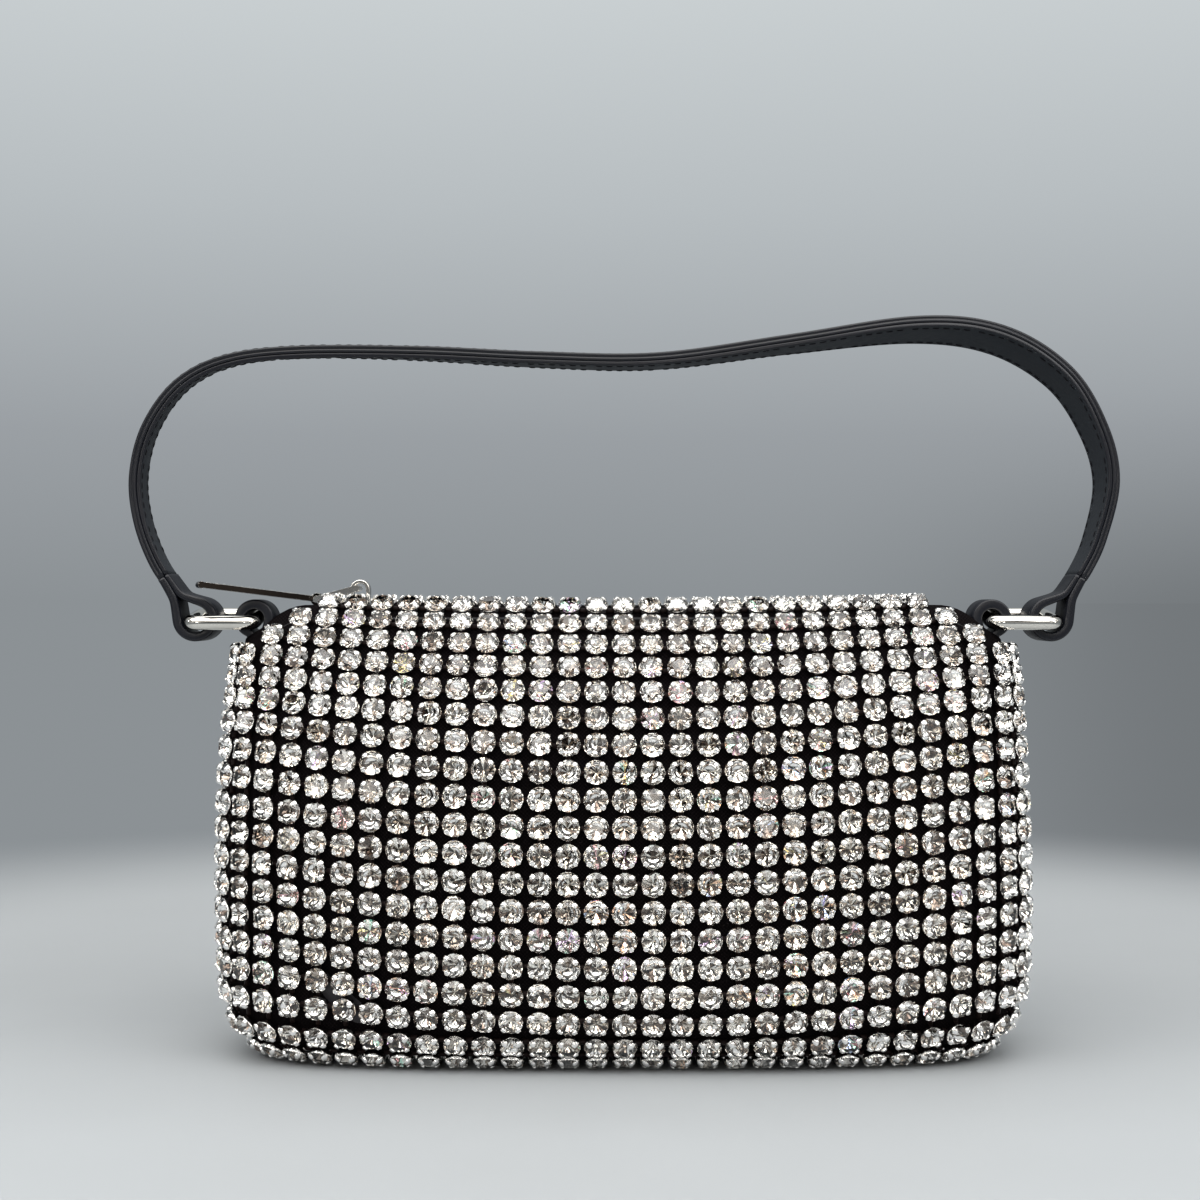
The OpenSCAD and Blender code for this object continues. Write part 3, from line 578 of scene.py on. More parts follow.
# The cups: thin bowls stamped from silvered sheet, with four broad prongs that are bent in over
# the stone's edge. Each is sewn to the net through its floor.
CUP_SIDES, CUP_TURN, CUP_TILT, CUP_SEED = 12, 4, 0.02, 31
CUP_UNDER, CUP_FLOOR = -0.95, -0.85
CUP_PROFILE = ((2.70, 0.2), (2.86, 0.6), (2.92, 1.28), (2.87, 1.42))
PRONG_PATH = ((2.88, 0.75, 0.44), (2.98, 1.40, 0.48), (2.86, 1.92, 0.64), (2.50, 2.20, 0.76),
              (2.12, 2.40, 0.68), (1.86, 2.46, 0.42))
PRONG_SECTION = ((-1, -0.25), (-0.72, 0.10), (0, 0.2), (0.72, 0.10), (1, -0.25))
PRONG_TIP_OUT, PRONG_TIP_UP = 1.72, 2.42
cup_points, cup_faces = [[0, 0, CUP_UNDER]], []
for radius, z in CUP_PROFILE:
    cup_points += ring_of(CUP_SIDES, radius, z, 15).tolist()
cup_points.append([0, 0, CUP_FLOOR])
rim = 1 + (len(CUP_PROFILE) - 1) * CUP_SIDES
for k in range(CUP_SIDES):
    m = (k + 1) % CUP_SIDES
    cup_faces.append([0, 1 + m, 1 + k])
    for a in range(1, rim, CUP_SIDES):
        cup_faces.append([a + k, a + m, a + CUP_SIDES + m, a + CUP_SIDES + k])
    cup_faces.append([rim + k, rim + m, rim + CUP_SIDES])
for quarter_turn in range(4):
    a = math.radians(45 + 90 * quarter_turn)
    out, side = np.array([math.cos(a), math.sin(a), 0]), np.array([-math.sin(a), math.cos(a), 0])
    base = len(cup_points)
    for k, (radius, z, wide) in enumerate(PRONG_PATH):
        back, ahead = PRONG_PATH[max(k - 1, 0)], PRONG_PATH[min(k + 1, len(PRONG_PATH) - 1)]
        run = np.array([ahead[0] - back[0], ahead[1] - back[1]])
        run = run / np.linalg.norm(run)
        off = out * run[1] - np.array([0, 0, run[0]])
        middle = out * radius + np.array([0, 0, z])
        for across, lift in PRONG_SECTION:
            cup_points.append((middle + side * wide * across + off * lift).tolist())
    cup_faces += tube_faces(len(PRONG_PATH), len(PRONG_SECTION), base, len(cup_points))
    cup_points.append((out * PRONG_TIP_OUT + np.array([0, 0, PRONG_TIP_UP])).tolist())
cup_points = np.array(cup_points)

# Polished metal: smooth, with faint rubbing marks that change its gloss.
rubbed, taken, given = new_group("rubbed", {"Grain": 600.0, "Gloss": 0.08, "Marks": 0.12},
                                 ("Roughness", "Shade", "Height"))
spread = node(rubbed, "ShaderNodeTexCoord")
fine = node(rubbed, "ShaderNodeTexNoise", [("Vector", spread, "Object"), ("Scale", taken, "Grain")],
            Detail=4.0)
broad = node(rubbed, "ShaderNodeTexNoise", [("Vector", spread, "Object")], Scale=90.0, Detail=2.0)
marks = reckoned(rubbed, "MULTIPLY", (fine, "Fac"), (broad, "Fac"))
scaled = reckoned(rubbed, "MULTIPLY", (marks, 0), (taken, "Marks"))
gloss = reckoned(rubbed, "ADD", (scaled, 0), (taken, "Gloss"))
rubbed.links.new(gloss.outputs[0], given.inputs["Roughness"])
rubbed.links.new(broad.outputs["Fac"], given.inputs["Shade"])
rubbed.links.new(fine.outputs["Fac"], given.inputs["Height"])


def metal_finish(name, dark, light, gloss_level, marks_level, grain):
    made, tree, skin = new_finish(name, Metallic=1.0)
    wear = node(tree, "ShaderNodeGroup", node_tree=rubbed, Grain=grain, Gloss=gloss_level, Marks=marks_level)
    shaded(tree, skin, (wear, "Shade"), dark, light)
    tree.links.new(wear.outputs["Roughness"], skin.inputs["Roughness"])
    bumped(tree, skin, (wear, "Height"), 0.04, 0.00005)
    return made


cup_finish = metal_finish("stamped_silver", (0.86, 0.85, 0.83), (0.98, 0.97, 0.95), 0.06, 0.08, 2000.0)


def cups(name, spots, seed):
    places = stone_frames(spots, random.Random(seed), CUP_TURN, CUP_TILT)
    made = repeated(name, places, cup_points, cup_faces, [cup_finish], [0] * len(cup_faces), True)
    outward(made)
    made.data.set_sharp_from_angle(angle=math.radians(50))
    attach(made, "bag")


# The stones underneath face down. The bag stands on the eight of the base, whose prongs all but
# touch the floor.
UNDER_LIFT = 0.55
ROOM_W, ROOM_D = FLAT_W - STONE_ACROSS / 2, FLAT_D - STONE_ACROSS / 2
floor_rows = math.floor(ROOM_D / STONE_PITCH + 0.5)
floor_columns = math.floor(ROOM_W / STONE_PITCH)
down = np.array([0, 0, -1.0])
under_spots, foot_spots = [], []
for column in range(-floor_columns, floor_columns + 1):
    for row in range(floor_rows):
        for side in (-1, 1):
            x, y = column * STONE_PITCH, side * (row + 0.5) * STONE_PITCH
            inside = (abs(x) / ROOM_W) ** PLAN_POWER + (abs(y) / ROOM_D) ** PLAN_POWER
            foot = (abs(column) == math.floor(floor_columns * 0.6) and row == floor_rows - 1
                    or abs(column) == floor_columns - 1 and row == 0)
            if inside < 1:
                chosen = foot_spots if foot else under_spots
                chosen.append((np.array([x, y, STONE_UP + UNDER_LIFT]), down))

for seed, (place, spots) in enumerate((("front", front_spots), ("back", turned_spots(front_spots)),
                                       ("right_gusset", end_spots), ("left_gusset", turned_spots(end_spots)),
                                       ("bottom", under_spots), ("base", foot_spots))):
    crystals = stones(place + "_crystals", spots, STONE_SEED + seed)
    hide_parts(place + "_stones")
    cups(place + "_cups", spots, CUP_SEED + seed)


# The lining: a bag of thin dark satin that follows the inside of the net and hangs from the zip's
# tapes. Its cloth is loose, so it falls in soft upright folds.
LINING_LOW, LINING_IN, LINING_THICK, LINING_FOLD = STONE_UP + 1.5, 2.1, 0.5, 1.6
LINING_UNDER, LINING_END_DOWN = 0.35, 3.2
TAPE_Z, TAPE_THICK, TAPE_LEVEL, TAPE_DIP, TAPE_END = 103.1, 0.6, 79.0, 4.0, 86.6
satin_finish = cloth_finish("lining_satin", (0.008, 0.0075, 0.009), (0.028, 0.026, 0.03), 9000.0, 0.1, 0.42,
                            0.00002)


def tape_under(x):
    """Height of the under side of the zip's tapes, which the lining hangs from."""
    return TAPE_Z - TAPE_DIP * max(0, abs(x) - TAPE_LEVEL) / (TAPE_END - TAPE_LEVEL)


def lining_loop(z):
    """One level ring of the lining. It folds deepest half way up."""
    power = 2 / PLAN_POWER
    fold = LINING_FOLD * math.sin(math.pi * (z - LINING_LOW) / (TAPE_Z - LINING_LOW))
    slope = abs(float(half_d_at(z + 0.1) - half_d_at(z)) / 0.1)
    w, d = float(half_w_at(z)) - LINING_IN, float(half_d_at(z)) - LINING_IN * math.hypot(1, slope)
    loop = []
    for k in range(180):
        a = math.radians(2 * k)
        pull = fold * (1 + math.sin(11 * a + z / 40) * math.sin(3 * a)) * 0.5
        x = math.copysign(abs(math.cos(a)) ** power, math.cos(a)) * (w - pull)
        y = math.copysign(abs(math.sin(a)) ** power, math.sin(a)) * (d - pull)
        under = min(z, BODY_H - END_DROP - GUSSET_DROP - LINING_END_DOWN) if abs(x) > TAPE_END - 1 else z
        loop.append([x, y, min(under, tape_under(x) - LINING_UNDER)])
    return loop


def shut_below(rings):
    """The rings of one face of the lining, with two small ones that shut its bottom."""
    return [rings[0] * [0.02, 0.02, 1], rings[0] * [0.5, 0.5, 1], *rings]


outer = np.array([lining_loop(z) for z in np.linspace(LINING_LOW, TAPE_Z - 0.5, 26)])
inner = outer - LINING_THICK * np.stack([np.sign(outer[:, :, 0]) * 0.3, np.sign(outer[:, :, 1]),
                                         np.zeros(outer.shape[:2])], -1)
inner[0, :, 2] += LINING_THICK
lining_rings = np.array(shut_below(outer) + shut_below(inner)[::-1])
levels, around = lining_rings.shape[:2]
lining_cut = [[i * 2.9 * MM, k * 4.0 * MM] for k in range(levels) for i in range(around)]
lining = outward(mesh_object("lining_bag", lining_rings.reshape(-1, 3) * MM, tube_faces(levels, around),
                             [satin_finish], uv=lining_cut))
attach(lining, "bag")
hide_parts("lining")


# The zip: two woven tapes sewn inside the net's top edge, teeth along their inner edges, a stop at
# each end. The tapes bend down at their ends, under the leather tabs.
TOOTH_ROOT, TAPE_STEPS, TAPE_STRIPS = 2.8, 140, 12
TAPE_IN, TAPE_CLEAR, TAPE_LEAST = 1.7, 0.15, 0.45
BEAD_UP, BEAD_WIDE, EDGE_UP, EDGE_UP_AT_END = 0.25, 0.12, 0.9, 0.27
tape_finish = cloth_finish("zip_tape_weave", (0.004, 0.004, 0.005), (0.022, 0.021, 0.023), 5200.0, 0.1, 0.7,
                           0.0001)


def tape_outer(x):
    """How far a tape reaches from the zip's middle line before it meets the net."""
    z = tape_under(x) + TAPE_THICK
    a, b = float(half_w_at(z)) - TAPE_IN, float(half_d_at(z)) - TAPE_IN
    return b * (1 - (abs(x) / a) ** PLAN_POWER) ** (1 / PLAN_POWER)


def half_tape(side, name):
    top, cuts = [], []
    for x in np.linspace(-TAPE_END, TAPE_END, TAPE_STEPS):
        near = TOOTH_ROOT + TAPE_CLEAR
        far = max(tape_outer(x), near + TAPE_LEAST)
        turned_up = EDGE_UP if abs(x) < TAPE_LEVEL else EDGE_UP_AT_END
        for share in np.linspace(0, 1, TAPE_STRIPS):
            y = near + (far - near) * share
            curl = BEAD_UP * math.exp(-((share / BEAD_WIDE) ** 2)) + turned_up * share**3
            top.append([x, side * y, tape_under(x) + TAPE_THICK + curl])
            cuts.append([x * MM, y * MM])
    top = np.array(top).reshape(TAPE_STEPS, TAPE_STRIPS, 3)
    made = sheet_mesh(name + "_cloth", top, top - np.array([0, 0, TAPE_THICK]), [tape_finish],
                      np.array(cuts).reshape(TAPE_STEPS, TAPE_STRIPS, 2))
    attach(made, "bag")
    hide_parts(name)


half_tape(-1, "zip_tape_front")
half_tape(1, "zip_tape_back")

thread_finish = spun_finish("sewing_thread", (0.002, 0.002, 0.003), (0.008, 0.008, 0.011), 0.6,
                            (0.4, 0.00005), Scale=5000.0, Detail=2.0)
STITCH_SHAPE = ((-0.5, 0.35, -0.7), (-0.3, 0.95, 0.1), (0.0, 1.0, 0.3), (0.3, 0.95, 0.1), (0.5, 0.35, -0.7))
STITCH_SIDES = 6


def stitches(name, runs, thick):
    """Sewn stitches: short rounded threads that dip at both ends. Each run is (middle, along, up, long)."""
    points, faces = [], []
    for spot, along_run, up, long in runs:
        side = np.cross(up, along_run)
        faces += tube_faces(len(STITCH_SHAPE), STITCH_SIDES, len(points))
        for share, fat, lift in STITCH_SHAPE:
            for k in range(STITCH_SIDES):
                a = math.radians(360 / STITCH_SIDES * k)
                points.append(spot + along_run * share * long + up * thick * (lift + fat * math.sin(a))
                              + side * thick * fat * math.cos(a))
    return outward(mesh_object(name, np.array(points) * MM, faces, [thread_finish]))


MOUTH_STITCH, MOUTH_PITCH, STITCHED_TO, SEAM_IN, SEAM_UP = 1.9, 2.6, 76, 0.9, 0.75
seam_runs = []
for side in (-1, 1):
    for x in np.arange(-STITCHED_TO, STITCHED_TO + 0.1, MOUTH_PITCH):
        spot = np.array([x, side * (tape_outer(x) - SEAM_IN), TAPE_Z + TAPE_THICK + SEAM_UP])
        seam_runs.append((spot, np.array([1.0, 0, 0]), np.array([0, -side * 0.25, 0.97]), MOUTH_STITCH))
seam = stitches("mouth_stitches", seam_runs, 0.2)
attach(seam, "bag")


def soften(name, finish, width):
    """Eases the sharp edges of a hard part by a width, or not at all, and gives it its finish."""
    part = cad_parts[name]
    part.data.materials.clear()
    part.data.materials.append(finish)
    part.data.polygons.foreach_set("material_index", np.zeros(len(part.data.polygons), np.int32))
    weld = part.modifiers.new("weld", "WELD")
    weld.merge_threshold = 0.000002
    if width:
        flat = part.modifiers.new("flat", "DECIMATE")
        flat.decimate_type = "DISSOLVE"
        flat.angle_limit = math.radians(1)
        eased = part.modifiers.new("eased", "BEVEL")
        eased.width = width * MM
        eased.segments = 3
        eased.angle_limit = math.radians(40)
        eased.harden_normals = True
    return part


tooth_finish = metal_finish("tooth_metal", (0.30, 0.30, 0.31), (0.48, 0.48, 0.49), 0.22, 0.3, 900.0)
nickel_finish = metal_finish("polished_nickel", (0.70, 0.675, 0.63), (0.90, 0.88, 0.84), 0.05, 0.14, 500.0)
for name in ("zip_teeth_front", "zip_teeth_back", "zip_stops"):
    soften(name, tooth_finish, 0.1)


# The slider, its crown, the link and the long flat puller: die-cast parts, polished and nickel
# plated. The link turns in the crown and the puller turns on the link.
# Painted reflection: the puller's broad faces are coloured near black to stand in for the dark room that
# polished nickel would reflect. Its eased edges keep plain nickel.
nickel_painted_dark = metal_finish("nickel_painted_dark", (0.018, 0.014, 0.012), (0.05, 0.042, 0.036), 0.06, 0.12, 500.0)
for name, finish, width in (("slider_body", nickel_finish, 0.25), ("slider_crown", nickel_finish, 0.22),
                            ("pull_link", nickel_finish, 0.2), ("pull_bar", nickel_painted_dark, 0.22)):
    soften(name, finish, width)
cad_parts["pull_bar"].data.materials.append(nickel_finish)
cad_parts["pull_bar"].modifiers["eased"].material = 1


# Leather: split hide with a smooth pressed face. The grain is fine pebbling with a few creases,
# and cut edges are closed with black edge paint.
hide, taken, given = new_group("hide", {"Pebble": 1500.0, "Crease": 140.0, "Rub": 0.25},
                               ("Height", "Shade", "Gloss"))
spread = node(hide, "ShaderNodeTexCoord")
pebble = node(hide, "ShaderNodeTexVoronoi", [("Vector", spread, "Object"), ("Scale", taken, "Pebble")],
              feature="SMOOTH_F1")
crease = node(hide, "ShaderNodeTexNoise", [("Vector", spread, "Object"), ("Scale", taken, "Crease")],
              Detail=6.0, Roughness=0.65)
deep = reckoned(hide, "MULTIPLY", (crease, "Fac"), 0.6)
height = reckoned(hide, "ADD", (pebble, "Distance"), (deep, 0))
rub = reckoned(hide, "MULTIPLY", (crease, "Fac"), (taken, "Rub"))
gloss = reckoned(hide, "ADD", (rub, 0), 0.26)
hide.links.new(height.outputs[0], given.inputs["Height"])
hide.links.new(crease.outputs["Fac"], given.inputs["Shade"])
hide.links.new(gloss.outputs[0], given.inputs["Gloss"])


def leather_finish(name, dark, light, pebble_count, rub_level, depth, coat, shine):
    made, tree, skin = new_finish(name, Specular_IOR_Level=shine, Coat_Weight=coat, Coat_Roughness=0.2)
    grain = node(tree, "ShaderNodeGroup", node_tree=hide, Pebble=pebble_count, Rub=rub_level)
    shaded(tree, skin, (grain, "Shade"), dark, light)
    tree.links.new(grain.outputs["Gloss"], skin.inputs["Roughness"])
    bumped(tree, skin, (grain, "Height"), depth, 0.0001)
    return made


leather = leather_finish("black_leather", (0.0035, 0.004, 0.0065), (0.009, 0.010, 0.015), 1500.0, 0.35, 0.3,
                         0.0, 0.07)
edge_paint = leather_finish("edge_paint", (0.0035, 0.004, 0.0065), (0.008, 0.009, 0.013), 500.0, 0.05, 0.12,
                            0.05, 0.28)
lining_leather = leather_finish("strap_lining_leather", (0.014, 0.0165, 0.020), (0.032, 0.036, 0.042),
                                1100.0, 0.6, 0.45, 0.0, 0.06)


def strip_section(wide, thick, rounding, crease=0.0, groove=0.0):
    """Outline of a leather strip across its width: rounded corners, a line pressed near each edge
    and a groove along the edge where two layers meet."""
    w, t = wide / 2 - rounding, thick / 2 - rounding
    outline = []
    for corner, (x, y) in enumerate(((w, t), (-w, t), (-w, -t), (w, -t))):
        for turn in np.radians(90 * corner + np.linspace(0, 90, 5)):
            outline.append((x + rounding * math.cos(turn), y + rounding * math.sin(turn)))
        if corner == 0 and crease:
            pressed = ((w - 0.35, 0), (w - 0.6, crease), (w - 0.85, 0))
            outline += [(x, thick / 2 - deep) for x, deep in pressed]
            outline += [(-x, thick / 2 - deep) for x, deep in pressed[::-1]]
        if corner in (1, 3) and groove:
            way = 1 if corner == 3 else -1
            outline += [(way * (wide / 2 - cut_in), -way * rest)
                        for cut_in, rest in ((0, 0.18), (groove, 0), (0, -0.18))]
    return outline


def swept(name, line, out, side, section_at, finishes, edge_from):
    """A strip swept along a line of points. section_at(k) gives its outline as (across, outward), and
    the second finish is on what lies further across than edge_from."""
    travelled = np.concatenate([[0], np.cumsum(np.linalg.norm(np.diff(line, axis=0), axis=1))])
    sections = [section_at(k) for k in range(len(line))]
    around = len(sections[0])
    points, cuts, parts = [], [], []
    for p, o, s, far, section in zip(line, out, side, travelled, sections):
        points += [p + s * x + o * y for x, y in section]
        cuts += [(far * MM, x * MM) for x, _ in section]
        outside = [abs(x) > edge_from for x, _ in section]
        parts += [int(outside[c] and outside[(c + 1) % around]) for c in range(around)]
    parts = parts[:-around] + [0, 0]
    return outward(mesh_object(name, np.array(points) * MM, tube_faces(len(line), around), finishes, parts,
                               uv=cuts))


# The tabs: a strip of leather folded round each ring's inner bar, with both of its ends sewn into
# the end of the pouch between net and lining.
TAB_X, RING_Z, TAB_BORE, LOOP_THICK, TAB_W = 89.3, 104.2, 2.4, 2.4, 10.0
TAIL_LOW, TAIL_OUT, TAIL_THICK = BODY_H - END_DROP - GUSSET_DROP - LOOP_THICK, 91.0, 1.55


def bent(side, corners, step, passes, held):
    """A strip bent through corner points (along the pouch, up) at one of its ends: its dense line, and
    its outward and across directions. Each pass smooths it, except for the points held at its ends."""
    dense = []
    for a, b in zip(corners, corners[1:]):
        steps = max(1, round(math.hypot(*(b - a)) / step))
        dense += [a + (b - a) * k / steps for k in range(steps)]
    flat = np.array(dense + [corners[-1]])
    for _ in range(passes):
        before, after = flat[held - 1:-held - 1], flat[held + 1:len(flat) - held + 1]
        flat[held:-held] = (before + flat[held:-held] * 2 + after) / 4
    run = np.gradient(flat, axis=0)
    run /= np.linalg.norm(run, axis=1)[:, None]
    level = np.zeros(len(flat))
    line = np.stack([flat[:, 0] * side, level, flat[:, 1]], -1)
    out = np.stack([-run[:, 1] * side, level, run[:, 0]], -1)
    return line, out, np.tile([0.0, 1.0, 0.0], (len(flat), 1))


def tab(side, name):
    radius = TAB_BORE + LOOP_THICK / 2
    inner_x, outer_x = TAB_X - LOOP_THICK + TAIL_THICK / 2, TAIL_OUT - TAIL_THICK / 2
    corners = [(inner_x, TAIL_LOW), (inner_x, TAIL_LOW + 1.6)]
    for a in np.radians(np.linspace(206, -78, 40)):
        corners.append((TAB_X + radius * math.cos(a), RING_Z + radius * math.sin(a)))
    corners += [(outer_x, TAIL_LOW + 1.9), (outer_x, TAIL_LOW)]
    line, out, across = bent(side, np.array(corners), 0.7, 3, 1)
    thick = [TAIL_THICK + (LOOP_THICK - TAIL_THICK) * min(1, max(0, (z - TAIL_LOW - 1) / 5))
             for z in line[:, 2]]
    made = swept(name, line, out, across, lambda k: strip_section(TAB_W, thick[k], 0.5, 0.12),
                 [leather, edge_paint], TAB_W / 2 - 0.45)
    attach(made, "bag")
    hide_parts(name.replace("_strip", ""))


tab(-1, "tab_left_strip")
tab(1, "tab_right_strip")


# The rings: rectangles of round wire with bent corners, brazed shut and polished. Nickel plating
# rounds their bars out to the thickness that shows.
PLATING = 0.65
ring_finish = metal_finish("ring_nickel", (0.56, 0.54, 0.50), (0.76, 0.74, 0.69), 0.03, 0.08, 500.0)
for name in ("ring_left", "ring_right"):
    plated = soften(name, ring_finish, 0).modifiers.new("plating", "DISPLACE")
    plated.strength, plated.mid_level = PLATING * MM, 0


# The strap: a belt of black leather lined with thin dark leather, with edges painted in one, a line
# of stitches along each edge and a pressed line beside it. It springs up in a long slack wave.
STRAP_W, STRAP_THICK, STRAP_LINING = 11.0, 1.9, 1.1
STRAP_STEPS, STRAP_TWIST, STRAP_COUNTER_TWIST = 260, math.radians(19), math.radians(8)
REACH, RISE, NECK_Z = 119.0, 71.2, 114.0
route_shares = [
    (-0.905, 0.065), (-0.955, 0.18), (-0.99, 0.33), (-1, 0.49), (-0.975, 0.66), (-0.91, 0.81),
    (-0.81, 0.895), (-0.66, 0.925), (-0.42, 0.92), (-0.17, 0.898), (0.07, 0.893), (0.34, 0.95),
    (0.6, 1), (0.77, 0.965), (0.9, 0.835), (0.972, 0.65), (0.998, 0.47), (0.975, 0.28),
    (0.945, 0.165), (0.905, 0.065)]
route = np.array([(x * REACH, RING_Z + z * RISE) for x, z in route_shares])
fine_route = []
for k in range(len(route) - 1):
    a, b, c, d = (route[min(max(k + m, 0), len(route) - 1)] for m in (-1, 0, 1, 2))
    for t in np.arange(0, 1, 0.1):
        fine_route.append((2 * b + (c - a) * t + (2 * a - 5 * b + 4 * c - d) * t**2
                           + (3 * b - a - 3 * c + d) * t**3) / 2)
fine_route = np.array(fine_route + [route[-1]])
kept = [k for k in range(len(fine_route)) if fine_route[k][1] > NECK_Z]
fine_route = fine_route[kept[0] - 1:kept[-1] + 2]
for end, near in ((0, 1), (-1, -2)):
    share = (NECK_Z - fine_route[end][1]) / (fine_route[near][1] - fine_route[end][1])
    fine_route[end] = fine_route[end] + (fine_route[near] - fine_route[end]) * share
length = np.concatenate([[0], np.cumsum(np.linalg.norm(np.diff(fine_route, axis=0), axis=1))])
STRAP_LONG = length[-1]
even = np.linspace(0, STRAP_LONG, STRAP_STEPS)
strap_x, strap_z = np.interp(even, length, fine_route[:, 0]), np.interp(even, length, fine_route[:, 1])
run = np.stack([np.gradient(strap_x), np.gradient(strap_z)], -1)
for _ in range(6):
    run[1:-1] = (run[:-2] + run[1:-1] * 2 + run[2:]) / 4
run /= np.linalg.norm(run, axis=1)[:, None]
strap_line = np.stack([strap_x, np.zeros(STRAP_STEPS), strap_z], -1)
plain_out = np.stack([-run[:, 1], np.zeros(STRAP_STEPS), run[:, 0]], -1)
share = even / STRAP_LONG
twist_at = STRAP_TWIST * np.exp(-(((share - 0.78) / 0.13) ** 2))
twist_at -= STRAP_COUNTER_TWIST * np.exp(-(((share - 0.21) / 0.17) ** 2))
front_side = np.array([0.0, -1.0, 0.0])
strap_side = np.cos(twist_at)[:, None] * front_side + np.sin(twist_at)[:, None] * plain_out
strap_out = np.cos(twist_at)[:, None] * plain_out - np.sin(twist_at)[:, None] * front_side

top_section = strip_section(STRAP_W, STRAP_THICK, 0.42, 0.16, 0.3)
low_section = [(x, y - (STRAP_THICK + STRAP_LINING) / 2)
               for x, y in strip_section(STRAP_W - 0.2, STRAP_LINING, 0.35)]
belt = swept("strap_belt", strap_line, strap_out, strap_side, lambda k: top_section,
             [leather, edge_paint], STRAP_W / 2 - 0.55)
backing = swept("strap_backing", strap_line, strap_out, strap_side, lambda k: low_section,
                [lining_leather, edge_paint], STRAP_W / 2 - 0.42)
STITCH_IN, STITCH_PITCH, STRAP_STITCH = 1.35, 2.75, 2.1
sewn = []
for position in np.arange(7.0, STRAP_LONG - 7, STITCH_PITCH):
    k = int(np.searchsorted(even, position))
    along_run = (strap_line[k] - strap_line[k - 1]) / np.linalg.norm(strap_line[k] - strap_line[k - 1])
    for edge in (-1, 1):
        beside = strap_line[k] + strap_side[k] * edge * (STRAP_W / 2 - STITCH_IN)
        for way, off in ((1, STRAP_THICK / 2 - 0.14), (-1, STRAP_THICK / 2 + STRAP_LINING - 0.04)):
            sewn.append((beside + strap_out[k] * way * off, along_run, strap_out[k] * way, STRAP_STITCH))
belt_stitches = stitches("strap_stitches", sewn, 0.24)
for made, slot in ((belt, "leather"), (backing, "strap_lining"), (belt_stitches, "leather")):
    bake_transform(made)
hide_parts("strap_leather")
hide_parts("strap_lining")


# The ends of the strap: the leather runs on round the ring's outer bar and comes back up inside,
# where it is thinned and sewn down.
LOOP_BORE, LOOP_X, FOLD_THICK, THROAT_OUT, THROAT_SPREAD = 3.2, 103.6, 2.2, 6.7, 0.95


def strap_loop(side, name):
    last_point, direction = (strap_line[-1], -run[-1]) if side > 0 else (strap_line[0], run[0])
    neck = np.array([abs(last_point[0]), last_point[2]])
    up = np.array([direction[0] * side, direction[1]])
    outer_way = np.array([up[1], -up[0]])
    inner_neck = neck - outer_way * (STRAP_THICK / 2 + STRAP_LINING / 2)
    centre = np.array([LOOP_X, RING_Z])
    away = neck - centre
    toward = math.degrees(math.atan2(away[1], away[0]))
    throat = centre + away / np.linalg.norm(away) * THROAT_OUT
    corners = [neck, neck - up * 1.2, throat + outer_way * THROAT_SPREAD]
    for a in np.radians(np.linspace(toward - 48, toward - 312, 44)):
        corners.append(centre + (LOOP_BORE + LOOP_THICK / 2) * np.array([math.cos(a), math.sin(a)]))
    corners += [throat - outer_way * THROAT_SPREAD, inner_neck - up * 1.4, inner_neck]
    line, out, across = bent(side, corners, 0.6, 5, 2)
    shares = np.linspace(0, 1, len(line))
    thick = [STRAP_THICK + (FOLD_THICK - STRAP_THICK) * min(1, 5 * s) if s < 0.75
             else FOLD_THICK + (STRAP_LINING + 0.1 - FOLD_THICK) * (s - 0.75) / 0.25 for s in shares]

    def section_at(k):
        crease = 0.12 if 0.1 < shares[k] < 0.7 else 0.0001
        return strip_section(STRAP_W, thick[k], min(0.6, thick[k] * 0.4), crease)

    made = swept(name, line, out, across, section_at, [leather, edge_paint], STRAP_W / 2 - 0.5)
    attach(made, "strap_ends")
    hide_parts(name.replace("_fold", ""))


strap_loop(-1, "strap_loop_left_fold")
strap_loop(1, "strap_loop_right_fold")


# The room: a pale smooth table top with a painted shadow behind the pouch, that turns to grey further off
# and darkens to the right of the
# # pouch, and a grey wall that is lightest high up. Four large soft lamps stand in front, at both
# # sides and behind, and a half circle of small ones gives the stones something to pick out.
FLOOR_PALE, FLOOR_FAR = (0.335, 0.352, 0.364), (0.262, 0.284, 0.30, 1)
DARK_FROM, DARK_TO, DARKEST = 0.08, 0.34, 0.66


def graded(tree, value, low, high, first=0.0, last=1.0, kind="SMOOTHSTEP"):
    """A value that passes from first to last while a node's output goes from low to high."""
    return node(tree, "ShaderNodeMapRange", [("Value", *value)], interpolation_type=kind,
                From_Min=low, From_Max=high, To_Min=first, To_Max=last)


floor_finish, tree, skin = new_finish("pale_floor", Roughness=0.5, Specular_IOR_Level=0.35)
spread = node(tree, "ShaderNodeTexCoord")
sides = node(tree, "ShaderNodeSeparateXYZ", [("Vector", spread, "Object")])
place_of = node(tree, "ShaderNodeVectorMath", [("Vector", spread, "Object")], operation="LENGTH")
far_off = graded(tree, (place_of, "Value"), 0.26, 0.47)
cloudy = node(tree, "ShaderNodeTexNoise", [("Vector", spread, "Object")], Scale=22.0, Detail=4.0)
pale = node(tree, "ShaderNodeValToRGB", [("Fac", cloudy, "Fac")])
for end, share in ((0, 0.97), (1, 1.03)):
    pale.color_ramp.elements[end].color = (*(share * c for c in FLOOR_PALE), 1)
# Painted shadow: the table's colour is made darker behind the pouch, where its shadow falls.
painted_shadow_behind = graded(tree, (sides, "Y"), -0.08, 0.03, 1.0, 0.86)
ground = node(tree, "ShaderNodeVectorMath", [(0, pale, "Color"), ("Scale", painted_shadow_behind, "Result")],
              operation="SCALE")
tree.links.new(ground.outputs[0], skin.inputs["Base Color"])
